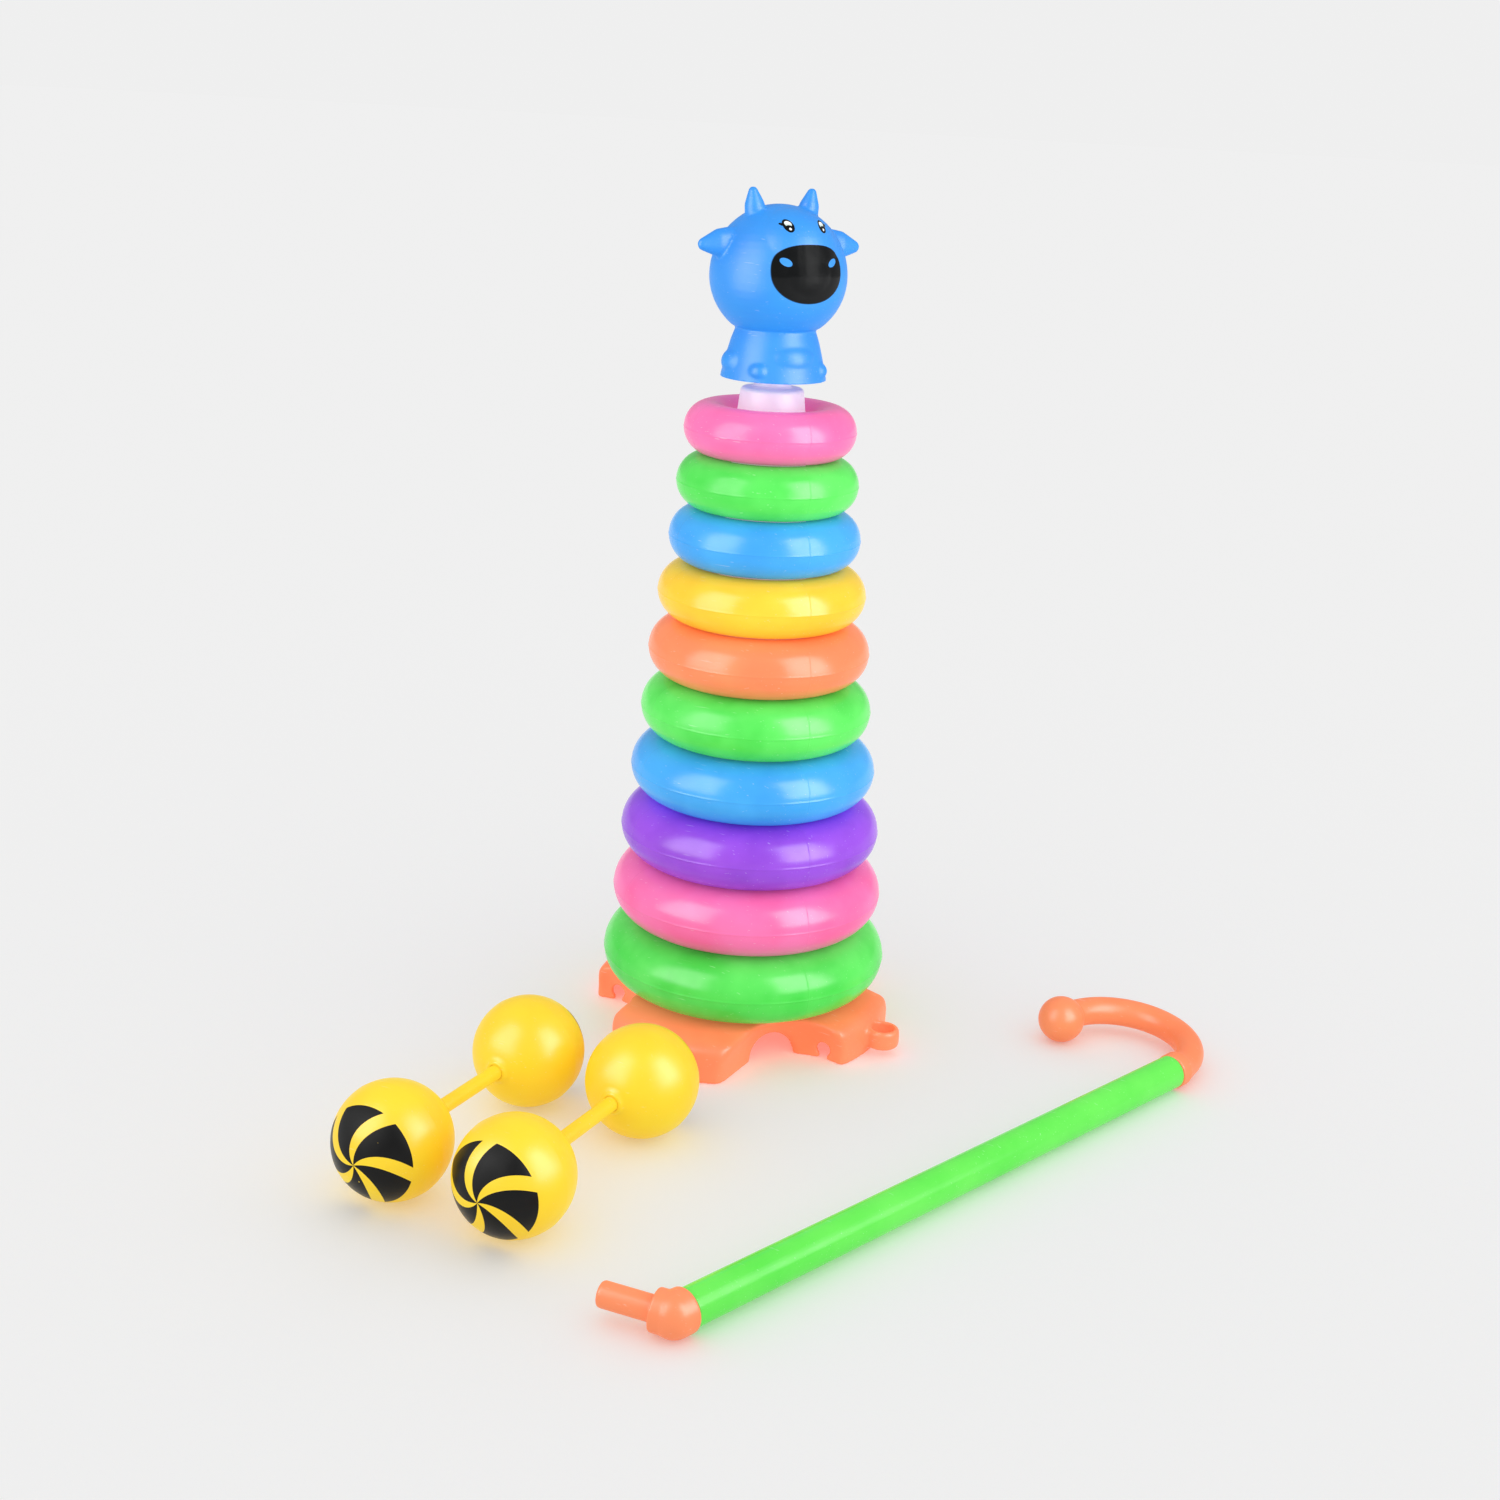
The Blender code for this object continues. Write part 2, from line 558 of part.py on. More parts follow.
def make_elbow(parent):
    """A round cap plugged into the tube, with the peg that drops into a pull loop."""
    plug = TUBE_RADIUS - TUBE_WALL - GAP
    end = -TUBE_LENGTH - GAP
    centre = end - COLLAR_LENGTH
    stations = [(end + PLUG_LENGTH, 0, 0, plug - CHAMFER),
                (end + PLUG_LENGTH - CHAMFER, 0, 0, plug),
                (end, 0, 0, plug), (end, 0, 0, ELBOW_RADIUS - ELBOW_EDGE)]
    for x, radius in arc((centre, 0), ELBOW_RADIUS, 90, CAP_STOP, BALL_STEPS):
        stations.append((x, 0, 0, radius))
    elbow = add_object("stick_elbow", skinned(stations), ORANGE)
    heading = Vector((math.cos(ELBOW_TURN), math.sin(ELBOW_TURN), 0))
    place = Matrix.Translation((centre, 0, 0)) @ heading.to_track_quat("Z", "Y").to_matrix().to_4x4()
    tip = [(0, PEG_LENGTH), (PEG_RADIUS - CHAMFER, PEG_LENGTH),
           (PEG_RADIUS, PEG_LENGTH - CHAMFER), (PEG_RADIUS, 0), (0, 0)]
    peg = add_object("peg", turned(tip, HOLE_SIDES, place))
    elbow.matrix_world = parent
    peg.matrix_world = parent
    boolean(elbow, peg, "UNION")


# ---- the whole toy ---------------------------------------------------------------------------

for leftover in list(bpy.data.objects):
    bpy.data.objects.remove(leftover, do_unlink=True)

make_base()
make_pole_lower()
make_pole_upper()
for place_in_stack, ring_colour in enumerate(RING_COLOURS):
    make_ring(place_in_stack, ring_colour)
make_topper()
for wheelset, middle in WHEELSET_CENTRES.items():
    make_wheelset(wheelset, middle)
stick = stick_place()
make_tube(stick)
make_handle(stick)
make_elbow(stick)
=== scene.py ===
"""The looks of the stacking ring toy: its mouldings, prints and finishes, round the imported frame."""

import math

import bmesh
import bpy
from mathutils import Matrix, Vector


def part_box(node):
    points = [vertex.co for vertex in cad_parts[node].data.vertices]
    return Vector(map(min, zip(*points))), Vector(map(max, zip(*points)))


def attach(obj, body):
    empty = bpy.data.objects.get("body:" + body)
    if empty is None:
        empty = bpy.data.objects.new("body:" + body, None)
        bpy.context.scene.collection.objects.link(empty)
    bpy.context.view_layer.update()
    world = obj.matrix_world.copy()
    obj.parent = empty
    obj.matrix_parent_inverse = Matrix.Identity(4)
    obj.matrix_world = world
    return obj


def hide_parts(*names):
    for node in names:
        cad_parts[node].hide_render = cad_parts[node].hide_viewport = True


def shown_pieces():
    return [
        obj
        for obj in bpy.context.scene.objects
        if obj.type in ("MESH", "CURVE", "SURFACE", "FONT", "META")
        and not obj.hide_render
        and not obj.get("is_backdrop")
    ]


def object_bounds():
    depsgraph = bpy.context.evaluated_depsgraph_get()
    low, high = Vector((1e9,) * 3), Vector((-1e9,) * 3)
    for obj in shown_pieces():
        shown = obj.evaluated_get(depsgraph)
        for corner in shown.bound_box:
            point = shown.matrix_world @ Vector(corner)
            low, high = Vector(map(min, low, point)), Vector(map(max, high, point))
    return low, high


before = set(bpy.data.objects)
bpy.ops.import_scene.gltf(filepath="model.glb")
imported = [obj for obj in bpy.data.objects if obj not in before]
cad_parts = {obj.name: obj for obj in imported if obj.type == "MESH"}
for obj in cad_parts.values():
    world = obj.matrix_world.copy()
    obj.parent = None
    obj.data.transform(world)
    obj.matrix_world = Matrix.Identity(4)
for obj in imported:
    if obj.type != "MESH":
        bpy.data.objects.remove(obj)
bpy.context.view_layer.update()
MM = 0.001


# ---- camera ----------------------------------------------------------------------------------
# A short telephoto view from half a metre up, in front of the tower and a little to its right.
# Every other place in the studio is measured from this view's own left, right and depth.

VIEW_TURN = Matrix.Rotation(math.radians(27.5), 4, "Z")
VIEW_DISTANCE = 1088 * MM
VIEW_HEIGHT = 513.8 * MM
VIEW_ASIDE = 2 * MM                 # the camera stands a little left of the tower's axis
VIEW_DIP = math.radians(90 - 17.76)
VIEW_LEAN = math.radians(2.97)
VIEW_LENS = 47.7
VIEW_SENSOR = 36

camera = bpy.data.objects.new("camera", bpy.data.cameras.new("camera"))
camera.data.lens = VIEW_LENS
camera.data.sensor_width = VIEW_SENSOR
stand = Matrix.Translation((-VIEW_ASIDE, -VIEW_DISTANCE, VIEW_HEIGHT))
camera.matrix_world = (VIEW_TURN @ stand @ Matrix.Rotation(VIEW_DIP, 4, "X")
                       @ Matrix.Rotation(VIEW_LEAN, 4, "Z"))
bpy.context.scene.collection.objects.link(camera)
bpy.context.scene.camera = camera


# ---- base ------------------------------------------------------------------------------------
# One soft orange injection moulding, open underneath: an oval cap with a ball well at each
# corner, four arches, a pull loop at the front and a spigot that the pole is pressed over.

BASE_ORANGE = (1.0, 0.25, 0.118)
BASE_ORANGE_DEEP = (1.0, 0.212, 0.092)
# painted light: the base glows in its own orange to lift the shade in its wells, arches and under its
# rim
BASE_GLOW = 0.31
BASE_ROUGHNESS = 0.36
BASE_HALF_LENGTH = 87 * MM
BASE_HALF_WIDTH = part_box("base")[1].y
DECK_HEIGHT = 24 * MM
DECK_RADIUS = 74 * MM
RIM_DROP = 2.2 * MM
RIM_ROUND = 7 * MM
BASE_WALL = 2.5 * MM
FOOT_SUNK = 20 * MM                 # the outside is rounded with its foot this far down, then cut
FOOT_PLAY = 0.02 * MM               # the cut foot stands this far above the floor
ARCH_RADIUS = 13.5 * MM
ARCH_TURN = math.radians(44)
ARCH_START = 45 * MM
WELL_RADIUS = 33.4 * MM
WELL_CENTRE = Vector((69, 60.4, 5.8)) * MM
WELL_LENGTH = 160 * MM
WELL_TILT = 0.02                    # keeps the wells' facets off the oval's
CENTRE_FOOT_RADIUS = 16 * MM
LOOP_RADIUS = 9.7 * MM
LOOP_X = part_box("base")[1].x - LOOP_RADIUS
LOOP_HOLE_RADIUS = 6.6 * MM
LOOP_BOTTOM = 4.2 * MM
LOOP_TOP = 15.8 * MM
LOOP_BROW = 2 * MM
AXLE_HOLE_RADIUS = 4.3 * MM
AXLE_SLOT = 5.2 * MM
CLIP_REACH = 43 * MM
SPIGOT_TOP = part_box("base")[1].z
SPIGOT_RADIUS = 36.4 * MM
SPIGOT_WALL = 2.2 * MM
POLE_PLAY = 0.3 * MM
BASE_VOXEL = 1.3 * MM
BASE_ROUNDS = 40
LOOP_ROUNDS = 5
BASE_FINE_VOXEL = 0.8 * MM
BASE_FINE_ROUNDS = 3
OVAL_SIDES = 144
WELL_SIDES = 72
LOOP_SIDES = 48
CLIP_SIDES = 32


def arc(centre, radius, start, stop, steps):
    """Points of a round stretch in a profile, angles in degrees from the outward radius."""
    points = []
    for step in range(steps + 1):
        angle = math.radians(start + (stop - start) * step / steps)
        points.append((centre[0] + radius * math.cos(angle), centre[1] + radius * math.sin(angle)))
    return points


def turned(profile, sides, place=Matrix(), ring=False):
    """Spin a profile of (radius, height) points round Z; a ring's profile closes on itself."""
    shape = bmesh.new()
    verts = [shape.verts.new((radius, 0, height)) for radius, height in profile]
    edges = [shape.edges.new(pair) for pair in zip(verts, verts[1:])]
    if ring:
        edges.append(shape.edges.new((verts[-1], verts[0])))
    bmesh.ops.spin(shape, geom=verts + edges, axis=(0, 0, 1), cent=(0, 0, 0),
                   angle=math.tau, steps=sides, use_merge=True)
    bmesh.ops.remove_doubles(shape, verts=shape.verts, dist=1e-6)
    bmesh.ops.recalc_face_normals(shape, faces=shape.faces)
    bmesh.ops.transform(shape, matrix=place, verts=shape.verts)
    return shape


def rod(radius, start, stop, sides=48):
    """A plain round bar between two points."""
    start = Vector(start)
    along = Vector(stop) - start
    place = Matrix.Translation(start) @ along.to_track_quat("Z", "Y").to_matrix().to_4x4()
    return turned([(0, along.length), (radius, along.length), (radius, 0), (0, 0)], sides, place)


def new_object(name, shape):
    mesh = bpy.data.meshes.new(name)
    shape.to_mesh(mesh)
    shape.free()
    made = bpy.data.objects.new(name, mesh)
    bpy.context.scene.collection.objects.link(made)
    return made


def carve(piece, shape, operation="DIFFERENCE"):
    """Cut or join one closed shape, and keep the result as the piece's own mesh."""
    tool = new_object("tool", shape)
    modifier = piece.modifiers.new("carve", "BOOLEAN")
    modifier.solver = "MANIFOLD"
    modifier.operation = operation
    modifier.object = tool
    keep_modifiers(piece)
    bpy.data.objects.remove(tool)


def keep_modifiers(piece):
    """Make what the modifiers show the piece's own mesh."""
    bpy.context.view_layer.update()
    shown = piece.evaluated_get(bpy.context.evaluated_depsgraph_get())
    mesh = bpy.data.meshes.new_from_object(shown)
    piece.modifiers.clear()
    piece.data = mesh


def soften(piece, voxel, rounds):
    """Melt the piece into one skin and round its corners, as a moulding's are."""
    melt = piece.modifiers.new("melt", "REMESH")
    melt.mode = "VOXEL"
    melt.voxel_size = voxel
    smooth = piece.modifiers.new("smooth", "SMOOTH")
    smooth.factor = 0.5
    smooth.iterations = rounds
    keep_modifiers(piece)


def place_piece(piece, material, body, slot, *nodes, sharp=40):
    """Give a finished piece its material and tie it to the frame."""
    piece.data.materials.clear()
    piece.data.materials.append(material)
    piece.data.shade_smooth()
    piece.data.set_sharp_from_angle(angle=math.radians(sharp))
    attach(piece, body)
    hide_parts(*nodes)


def add_node(tree, kind, settings=None, **inputs):
    """Add a node; an input takes a value or another node's output."""
    made = tree.nodes.new(kind)
    for key, value in (settings or {}).items():
        setattr(made, key, value)
    for key, value in inputs.items():
        feed(tree, made.inputs[key], value)
    return made


def feed(tree, socket, value):
    """Link another node's output to the socket, or set the socket's own value."""
    if isinstance(value, bpy.types.NodeSocket):
        tree.links.new(value, socket)
    else:
        socket.default_value = value


def sums(tree, operation, *values):
    """One Math node; gives its output."""
    made = tree.nodes.new("ShaderNodeMath")
    made.operation = operation
    for socket, value in zip(made.inputs, values):
        feed(tree, socket, value)
    return made.outputs[0]


def blend(tree, share, first, second):
    """Mix two colours; gives the output."""
    made = tree.nodes.new("ShaderNodeMix")
    made.data_type = "RGBA"
    feed(tree, made.inputs["Factor"], share)
    feed(tree, made.inputs[6], first)
    feed(tree, made.inputs[7], second)
    return made.outputs[2]


def ramp(tree, value, low, high, start=0.0, end=1.0):
    """Map a value's range on to another, clamped; gives the output."""
    made = add_node(tree, "ShaderNodeMapRange", None, **{
        "Value": value, "From Min": low, "From Max": high, "To Min": start, "To Max": end})
    return made.outputs[0]


def new_group(name, inputs, outputs):
    """A shader node group with named sockets; gives it with its input and output nodes."""
    group = bpy.data.node_groups.new(name, "ShaderNodeTree")
    for socket, kind in inputs:
        group.interface.new_socket(socket, in_out="INPUT", socket_type=kind)
    for socket, kind in outputs:
        group.interface.new_socket(socket, in_out="OUTPUT", socket_type=kind)
    return group, group.nodes.new("NodeGroupInput"), group.nodes.new("NodeGroupOutput")


FLOAT = "NodeSocketFloat"
COLOUR = "NodeSocketColor"
VECTOR = "NodeSocketVector"

# every plastic glows faintly in its own colour: painted light that lifts its shaded sides and crevices
PAINTED_GLOW = 0.14
MIRROR = 0.2
BUMP_DEPTH = 0.12 * MM
BUMP_STRENGTH = 0.6
CLOUD_SCALE = 24                    # patches of deeper pigment
CLOUD_RANGE = (0.38, 0.66)
PEEL_SCALE = 520                    # orange peel
RUB_SCALE = 75                      # patches rubbed dull
RUB_RANGE = (0.42, 0.72)
RUB_DULLING = 0.06
SCRATCH_SHAPE = (60, 900, 900)
SCRATCH_TURNS = (0.4, 1.9, 2.8)
SCRATCH_RANGE = (0.735, 0.80)
SCRATCH_PALENESS = 0.25
SCRATCH_DULLING = 0.12
SCRATCH_DEPTH = -0.15
PIT_SCALE = 210
PIT_EDGE = (0.05, 0.10)
PIT_RARITY = (0.82, 0.84)
PIT_DEPTH = -0.35
PLAIN_PEEL = 0.5
PLAIN_WEAR = 0.6


def make_skin_group():
    """What every moulding here shares: cloudy pigment, orange peel, rubbed gloss, hair scratches."""
    group, given, result = new_group(
        "moulded_skin",
        [("Vector", VECTOR), ("Colour", COLOUR), ("Deep", COLOUR), ("Roughness", FLOAT),
         ("Peel", FLOAT), ("Wear", FLOAT)],
        [("Colour", COLOUR), ("Roughness", FLOAT), ("Height", FLOAT)])
    at = given.outputs
    cloud = add_node(group, "ShaderNodeTexNoise", None, Vector=at["Vector"], Scale=CLOUD_SCALE,
                     Detail=3.0)
    tint = blend(group, ramp(group, cloud.outputs[0], *CLOUD_RANGE), at["Colour"], at["Deep"])
    peel = add_node(group, "ShaderNodeTexNoise", None, Vector=at["Vector"], Scale=PEEL_SCALE,
                    Detail=2.0)
    rub = add_node(group, "ShaderNodeTexNoise", None, Vector=at["Vector"], Scale=RUB_SCALE,
                   Detail=4.0)
    rubbed = ramp(group, rub.outputs[0], *RUB_RANGE)
    scratches = None
    for turn in SCRATCH_TURNS:
        aim = add_node(group, "ShaderNodeMapping", None, Vector=at["Vector"],
                       Rotation=(turn, 0.7 * turn, 1.3 * turn), Scale=SCRATCH_SHAPE)
        hair = add_node(group, "ShaderNodeTexNoise", None, Vector=aim.outputs[0], Scale=1.0,
                        Detail=1.0)
        line = ramp(group, hair.outputs[0], *SCRATCH_RANGE)
        scratches = line if scratches is None else sums(group, "MAXIMUM", scratches, line)
    worn = sums(group, "MULTIPLY", scratches, at["Wear"])
    paling = sums(group, "MULTIPLY", worn, SCRATCH_PALENESS)
    pale = blend(group, paling, tint, (1.0, 1.0, 1.0, 1.0))
    cells = add_node(group, "ShaderNodeTexVoronoi", None, Vector=at["Vector"], Scale=PIT_SCALE)
    pit = ramp(group, cells.outputs["Distance"], *PIT_EDGE, 1.0, 0.0)
    kept = ramp(group, cells.outputs["Color"], *PIT_RARITY)
    pits = sums(group, "MULTIPLY", pit, kept)
    roughness = sums(group, "MULTIPLY_ADD", rubbed, RUB_DULLING, at["Roughness"])
    roughness = sums(group, "MULTIPLY_ADD", worn, SCRATCH_DULLING, roughness)
    height = sums(group, "MULTIPLY", peel.outputs[0], at["Peel"])
    height = sums(group, "MULTIPLY_ADD", pits, PIT_DEPTH, height)
    height = sums(group, "MULTIPLY_ADD", worn, SCRATCH_DEPTH, height)
    group.links.new(pale, result.inputs["Colour"])
    group.links.new(roughness, result.inputs["Roughness"])
    group.links.new(height, result.inputs["Height"])
    return group


SKIN_GROUP = make_skin_group()


def new_material(name):
    """A material's tree, its shader and its place on the piece."""
    material = bpy.data.materials.new(name)
    material.use_nodes = True
    tree = material.node_tree
    place = add_node(tree, "ShaderNodeTexCoord").outputs["Object"]
    return material, tree, tree.nodes["Principled BSDF"], place


def add_skin(tree, place, colour, deep, roughness, peel, wear):
    """The shared moulding marks, with this plastic's own values; gives the three outputs."""
    made = tree.nodes.new("ShaderNodeGroup")
    made.node_tree = SKIN_GROUP
    values = {"Vector": place, "Colour": (*colour, 1), "Deep": (*deep, 1),
              "Roughness": roughness, "Peel": peel, "Wear": wear}
    for key, value in values.items():
        feed(tree, made.inputs[key], value)
    return made.outputs


def wire(tree, shader, colour, roughness, height, glow=PAINTED_GLOW):
    """Feed the shader, with the height as a bump. Every plastic also glows faintly in its own colour:
    painted light that lifts its shaded sides and crevices.
    """
    bump = add_node(tree, "ShaderNodeBump", None, Height=height, Distance=BUMP_DEPTH,
                    Strength=BUMP_STRENGTH)
    feed(tree, shader.inputs["Base Color"], colour)
    feed(tree, shader.inputs["Emission Color"], colour)
    shader.inputs["Emission Strength"].default_value = glow
    shader.inputs["Specular IOR Level"].default_value = MIRROR
    feed(tree, shader.inputs["Roughness"], roughness)
    feed(tree, shader.inputs["Normal"], bump.outputs[0])


def moulded(name, colour, deep, roughness, glow=PAINTED_GLOW):
    """A coloured plastic with nothing on it but the marks of moulding and use."""
    material, tree, shader, place = new_material(name)
    skin = add_skin(tree, place, colour, deep, roughness, PLAIN_PEEL, PLAIN_WEAR)
    wire(tree, shader, skin["Colour"], skin["Roughness"], skin["Height"], glow)
    return material


def block(low, high, place=Matrix()):
    """A plain box between two corners."""
    shape = bmesh.new()
    low = Vector(low)
    high = Vector(high)
    middle = Matrix.Translation((low + high) / 2) @ Matrix.Diagonal((*(high - low), 1))
    bmesh.ops.create_cube(shape, size=1, matrix=place @ middle)
    return shape


def cap_profile(inset, foot):
    """The base's section through a side lobe, drawn in by a wall when inset."""
    top = DECK_HEIGHT - inset
    edge = BASE_HALF_WIDTH - inset
    bend = RIM_ROUND - inset
    rim = arc((edge - bend, top - RIM_DROP - bend), bend, 80, 0, 8)
    return [(0, top), (DECK_RADIUS, top), *rim, (edge, foot), (0, foot)]


def well(side_x, side_y, grow):
    """The space of one ball: a ball end on a round tunnel that leaves along the axle."""
    radius = WELL_RADIUS + grow
    nose = arc((0, 0), radius, -90, 0, 16)
    nose[0] = (0, -radius)
    centre = Vector((side_x * WELL_CENTRE.x, side_y * WELL_CENTRE.y, WELL_CENTRE.z))
    outward = Matrix.Rotation(-side_y * math.pi / 2, 4, "X")
    tilt = Matrix.Rotation(WELL_TILT, 4, "Z")
    return turned([*nose, (radius, WELL_LENGTH), (0, WELL_LENGTH)], WELL_SIDES,
                  Matrix.Translation(centre) @ outward @ tilt)


oval = Matrix.Diagonal((BASE_HALF_LENGTH / BASE_HALF_WIDTH, 1, 1, 1))
base = new_object("base_moulding", turned(cap_profile(0, -FOOT_SUNK), OVAL_SIDES, oval))
under = new_object("base_hollow", turned(cap_profile(BASE_WALL, -BASE_WALL), OVAL_SIDES, oval))
carve(under, rod(CENTRE_FOOT_RADIUS, (0, 0, -2 * BASE_WALL), (0, 0, DECK_HEIGHT)))
for side_x, side_y in ((1, 1), (1, -1), (-1, 1), (-1, -1)):
    carve(under, well(side_x, side_y, BASE_WALL))
    carve(base, well(side_x, side_y, 0))
    turn = math.atan2(side_y * math.sin(ARCH_TURN), side_x * math.cos(ARCH_TURN))
    aim = Matrix.Rotation(turn, 4, "Z")
    arch = (aim @ Vector((ARCH_START, 0, 0)), aim @ Vector((BASE_HALF_WIDTH, 0, 0)))
    carve(base, rod(ARCH_RADIUS, *arch))
    carve(base, block((ARCH_START, -ARCH_RADIUS, -2 * FOOT_SUNK),
                      (BASE_HALF_WIDTH, ARCH_RADIUS, 0), aim))
edge = LOOP_RADIUS - LOOP_BROW
eye = [(0, LOOP_TOP), *arc((edge, LOOP_TOP - LOOP_BROW), LOOP_BROW, 90, 0, 5),
       *arc((edge, LOOP_BOTTOM + LOOP_BROW), LOOP_BROW, 0, -90, 5), (0, LOOP_BOTTOM)]
soften(base, BASE_VOXEL, BASE_ROUNDS)
carve(base, turned(eye, LOOP_SIDES, Matrix.Translation((LOOP_X, 0, 0))), "UNION")
soften(base, BASE_VOXEL, LOOP_ROUNDS)
carve(base, rod(LOOP_HOLE_RADIUS, (LOOP_X, 0, 0), (LOOP_X, 0, DECK_HEIGHT)))
far = 2 * BASE_HALF_WIDTH
carve(base, block((-far, -far, -far), (far, far, FOOT_PLAY)))
inside = bmesh.new()
inside.from_mesh(under.data)
carve(base, inside)
bpy.data.objects.remove(under)
for side in (1, -1):
    clip_x = side * WELL_CENTRE.x
    carve(base, rod(AXLE_HOLE_RADIUS, (clip_x, -CLIP_REACH, WELL_CENTRE.z),
                    (clip_x, CLIP_REACH, WELL_CENTRE.z), CLIP_SIDES))
    carve(base, block((clip_x - AXLE_SLOT / 2, -CLIP_REACH, -BASE_WALL),
                      (clip_x + AXLE_SLOT / 2, CLIP_REACH, WELL_CENTRE.z)))
root = DECK_HEIGHT - BASE_WALL / 2
sleeve = [(SPIGOT_RADIUS, SPIGOT_TOP), (SPIGOT_RADIUS, root),
          (SPIGOT_RADIUS - SPIGOT_WALL, root), (SPIGOT_RADIUS - SPIGOT_WALL, SPIGOT_TOP)]
carve(base, turned(sleeve, WELL_SIDES, ring=True), "UNION")
soften(base, BASE_FINE_VOXEL, BASE_FINE_ROUNDS)
base_plastic = moulded("orange_base_plastic", BASE_ORANGE, BASE_ORANGE_DEEP, BASE_ROUGHNESS,
                       BASE_GLOW)
place_piece(base, base_plastic, "tower", "orange_base_plastic", "base")


# ---- pole ------------------------------------------------------------------------------------
# Two tapered tubes of milky polypropylene, the narrow one pressed on the wide one's spigot. The
# narrow one is closed by a rounded collar and the neck that the figure sits on.

POLE_MILK = (0.80, 0.70, 0.78)
POLE_SHADE = (0.72, 0.62, 0.74)
# painted light: the pole glows in its own colour to lift its shade
POLE_GLOW = 0.26
POLE_ROUGHNESS = 0.42
POLE_PEEL = 0.5
POLE_WEAR = 0.5
POLE_SCATTER = 0.5
POLE_SCATTER_TINT = (1.0, 0.7, 0.9)
POLE_SCATTER_DEPTH = 6 * MM
POLE_SIDES = 96
POLE_WALL = 2.2 * MM
LAP_EDGE = 1 * MM
FOOT_EDGE = 0.5 * MM
NECK_ROUND = 1.5 * MM
NECK_FILLET = 2 * MM
COLLAR_HEIGHT = 13 * MM
NECK_HEIGHT = 25 * MM
NECK_RADIUS = 10 * MM
COLLAR_ROUND = 2.4 * MM
COLLAR_RADIUS = 17.4 * MM
SHOULDER_RADIUS = 18.6 * MM

pole_foot, pole_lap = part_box("pole_lower")
joint_foot, pole_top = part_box("pole_upper")


def pole_radius(height):
    """Outside of the taper, which runs straight from the pole's foot through its joint."""
    share = (height - pole_foot.z) / (joint_foot.z - pole_foot.z)
    return pole_lap.x + share * (pole_top.x - pole_lap.x)


def frosted(name):
    """Milky plastic: light goes in and comes out again nearby."""
    material, tree, shader, place = new_material(name)
    skin = add_skin(tree, place, POLE_MILK, POLE_SHADE, POLE_ROUGHNESS, POLE_PEEL, POLE_WEAR)
    wire(tree, shader, skin["Colour"], skin["Roughness"], skin["Height"], POLE_GLOW)
    shader.inputs["Subsurface Weight"].default_value = POLE_SCATTER
    shader.inputs["Subsurface Radius"].default_value = POLE_SCATTER_TINT
    shader.inputs["Subsurface Scale"].default_value = POLE_SCATTER_DEPTH
    return material


frosted_pole = frosted("frosted_pole_plastic")
joint = joint_foot.z - POLE_PLAY
lap = pole_lap.z
spigot = pole_radius(lap) - POLE_WALL - POLE_PLAY
foot_radius = pole_radius(pole_foot.z)
waist = pole_radius(joint)
lower = [(spigot - LAP_EDGE, lap), (spigot, lap - LAP_EDGE), (spigot, joint),
         (waist - FOOT_EDGE, joint), (waist, joint - FOOT_EDGE),
         (foot_radius, pole_foot.z), (foot_radius - POLE_WALL, pole_foot.z),
         (waist - 2 * POLE_WALL, joint - POLE_WALL), (spigot - POLE_WALL, lap)]
pole_lower = new_object("pole_lower_tube", turned(lower, POLE_SIDES, ring=True))
place_piece(pole_lower, frosted_pole, "tower", "frosted_pole_plastic", "pole_lower", sharp=50)

shoulder = pole_top.z - NECK_HEIGHT
collar = shoulder - COLLAR_HEIGHT
skirt = pole_radius(joint_foot.z)
upper = [(0, pole_top.z),
         *arc((NECK_RADIUS - NECK_ROUND, pole_top.z - NECK_ROUND), NECK_ROUND, 90, 0, 5),
         *arc((NECK_RADIUS + NECK_FILLET, shoulder + NECK_FILLET), NECK_FILLET, 180, 270, 6),
         *arc((COLLAR_RADIUS - COLLAR_ROUND, shoulder - COLLAR_ROUND), COLLAR_ROUND, 90, 5, 8),
         (SHOULDER_RADIUS, collar), (skirt, joint_foot.z + FOOT_EDGE),
         (skirt - FOOT_EDGE, joint_foot.z), (skirt - POLE_WALL, joint_foot.z),
         (SHOULDER_RADIUS - POLE_WALL, collar), (NECK_RADIUS - POLE_WALL, shoulder - POLE_WALL),
         (NECK_RADIUS - POLE_WALL, pole_top.z - POLE_WALL), (0, pole_top.z - POLE_WALL)]
pole_upper = new_object("pole_upper_tube", turned(upper, POLE_SIDES))
place_piece(pole_upper, frosted_pole, "tower", "frosted_pole_plastic", "pole_upper", sharp=50)


# ---- rings -----------------------------------------------------------------------------------
# Ten hollow blow-moulded rings in six glossy colours. Each is pinched between two mould halves,
# which leaves a fine line round its middle, and has a blow hole in its bore.

GREEN = (0.125, 0.79, 0.127)
GREEN_DEEP = (0.065, 0.654, 0.072)
PINK = (0.9, 0.18, 0.443)
PINK_DEEP = (0.9, 0.132, 0.358)
BLUE = (0.063, 0.396, 0.888)
BLUE_DEEP = (0.045, 0.321, 0.804)
YELLOW = (0.9, 0.608, 0.043)
YELLOW_DEEP = (0.9, 0.528, 0.03)
RING_ORANGE = (0.9, 0.281, 0.123)
RING_ORANGE_DEEP = (0.9, 0.239, 0.104)
PURPLE = (0.316, 0.078, 0.734)
PURPLE_DEEP = (0.232, 0.052, 0.606)
RING_PLASTICS = (("green", GREEN, GREEN_DEEP), ("pink", PINK, PINK_DEEP),
                 ("purple", PURPLE, PURPLE_DEEP), ("blue", BLUE, BLUE_DEEP),
                 ("orange", RING_ORANGE, RING_ORANGE_DEEP), ("yellow", YELLOW, YELLOW_DEEP))
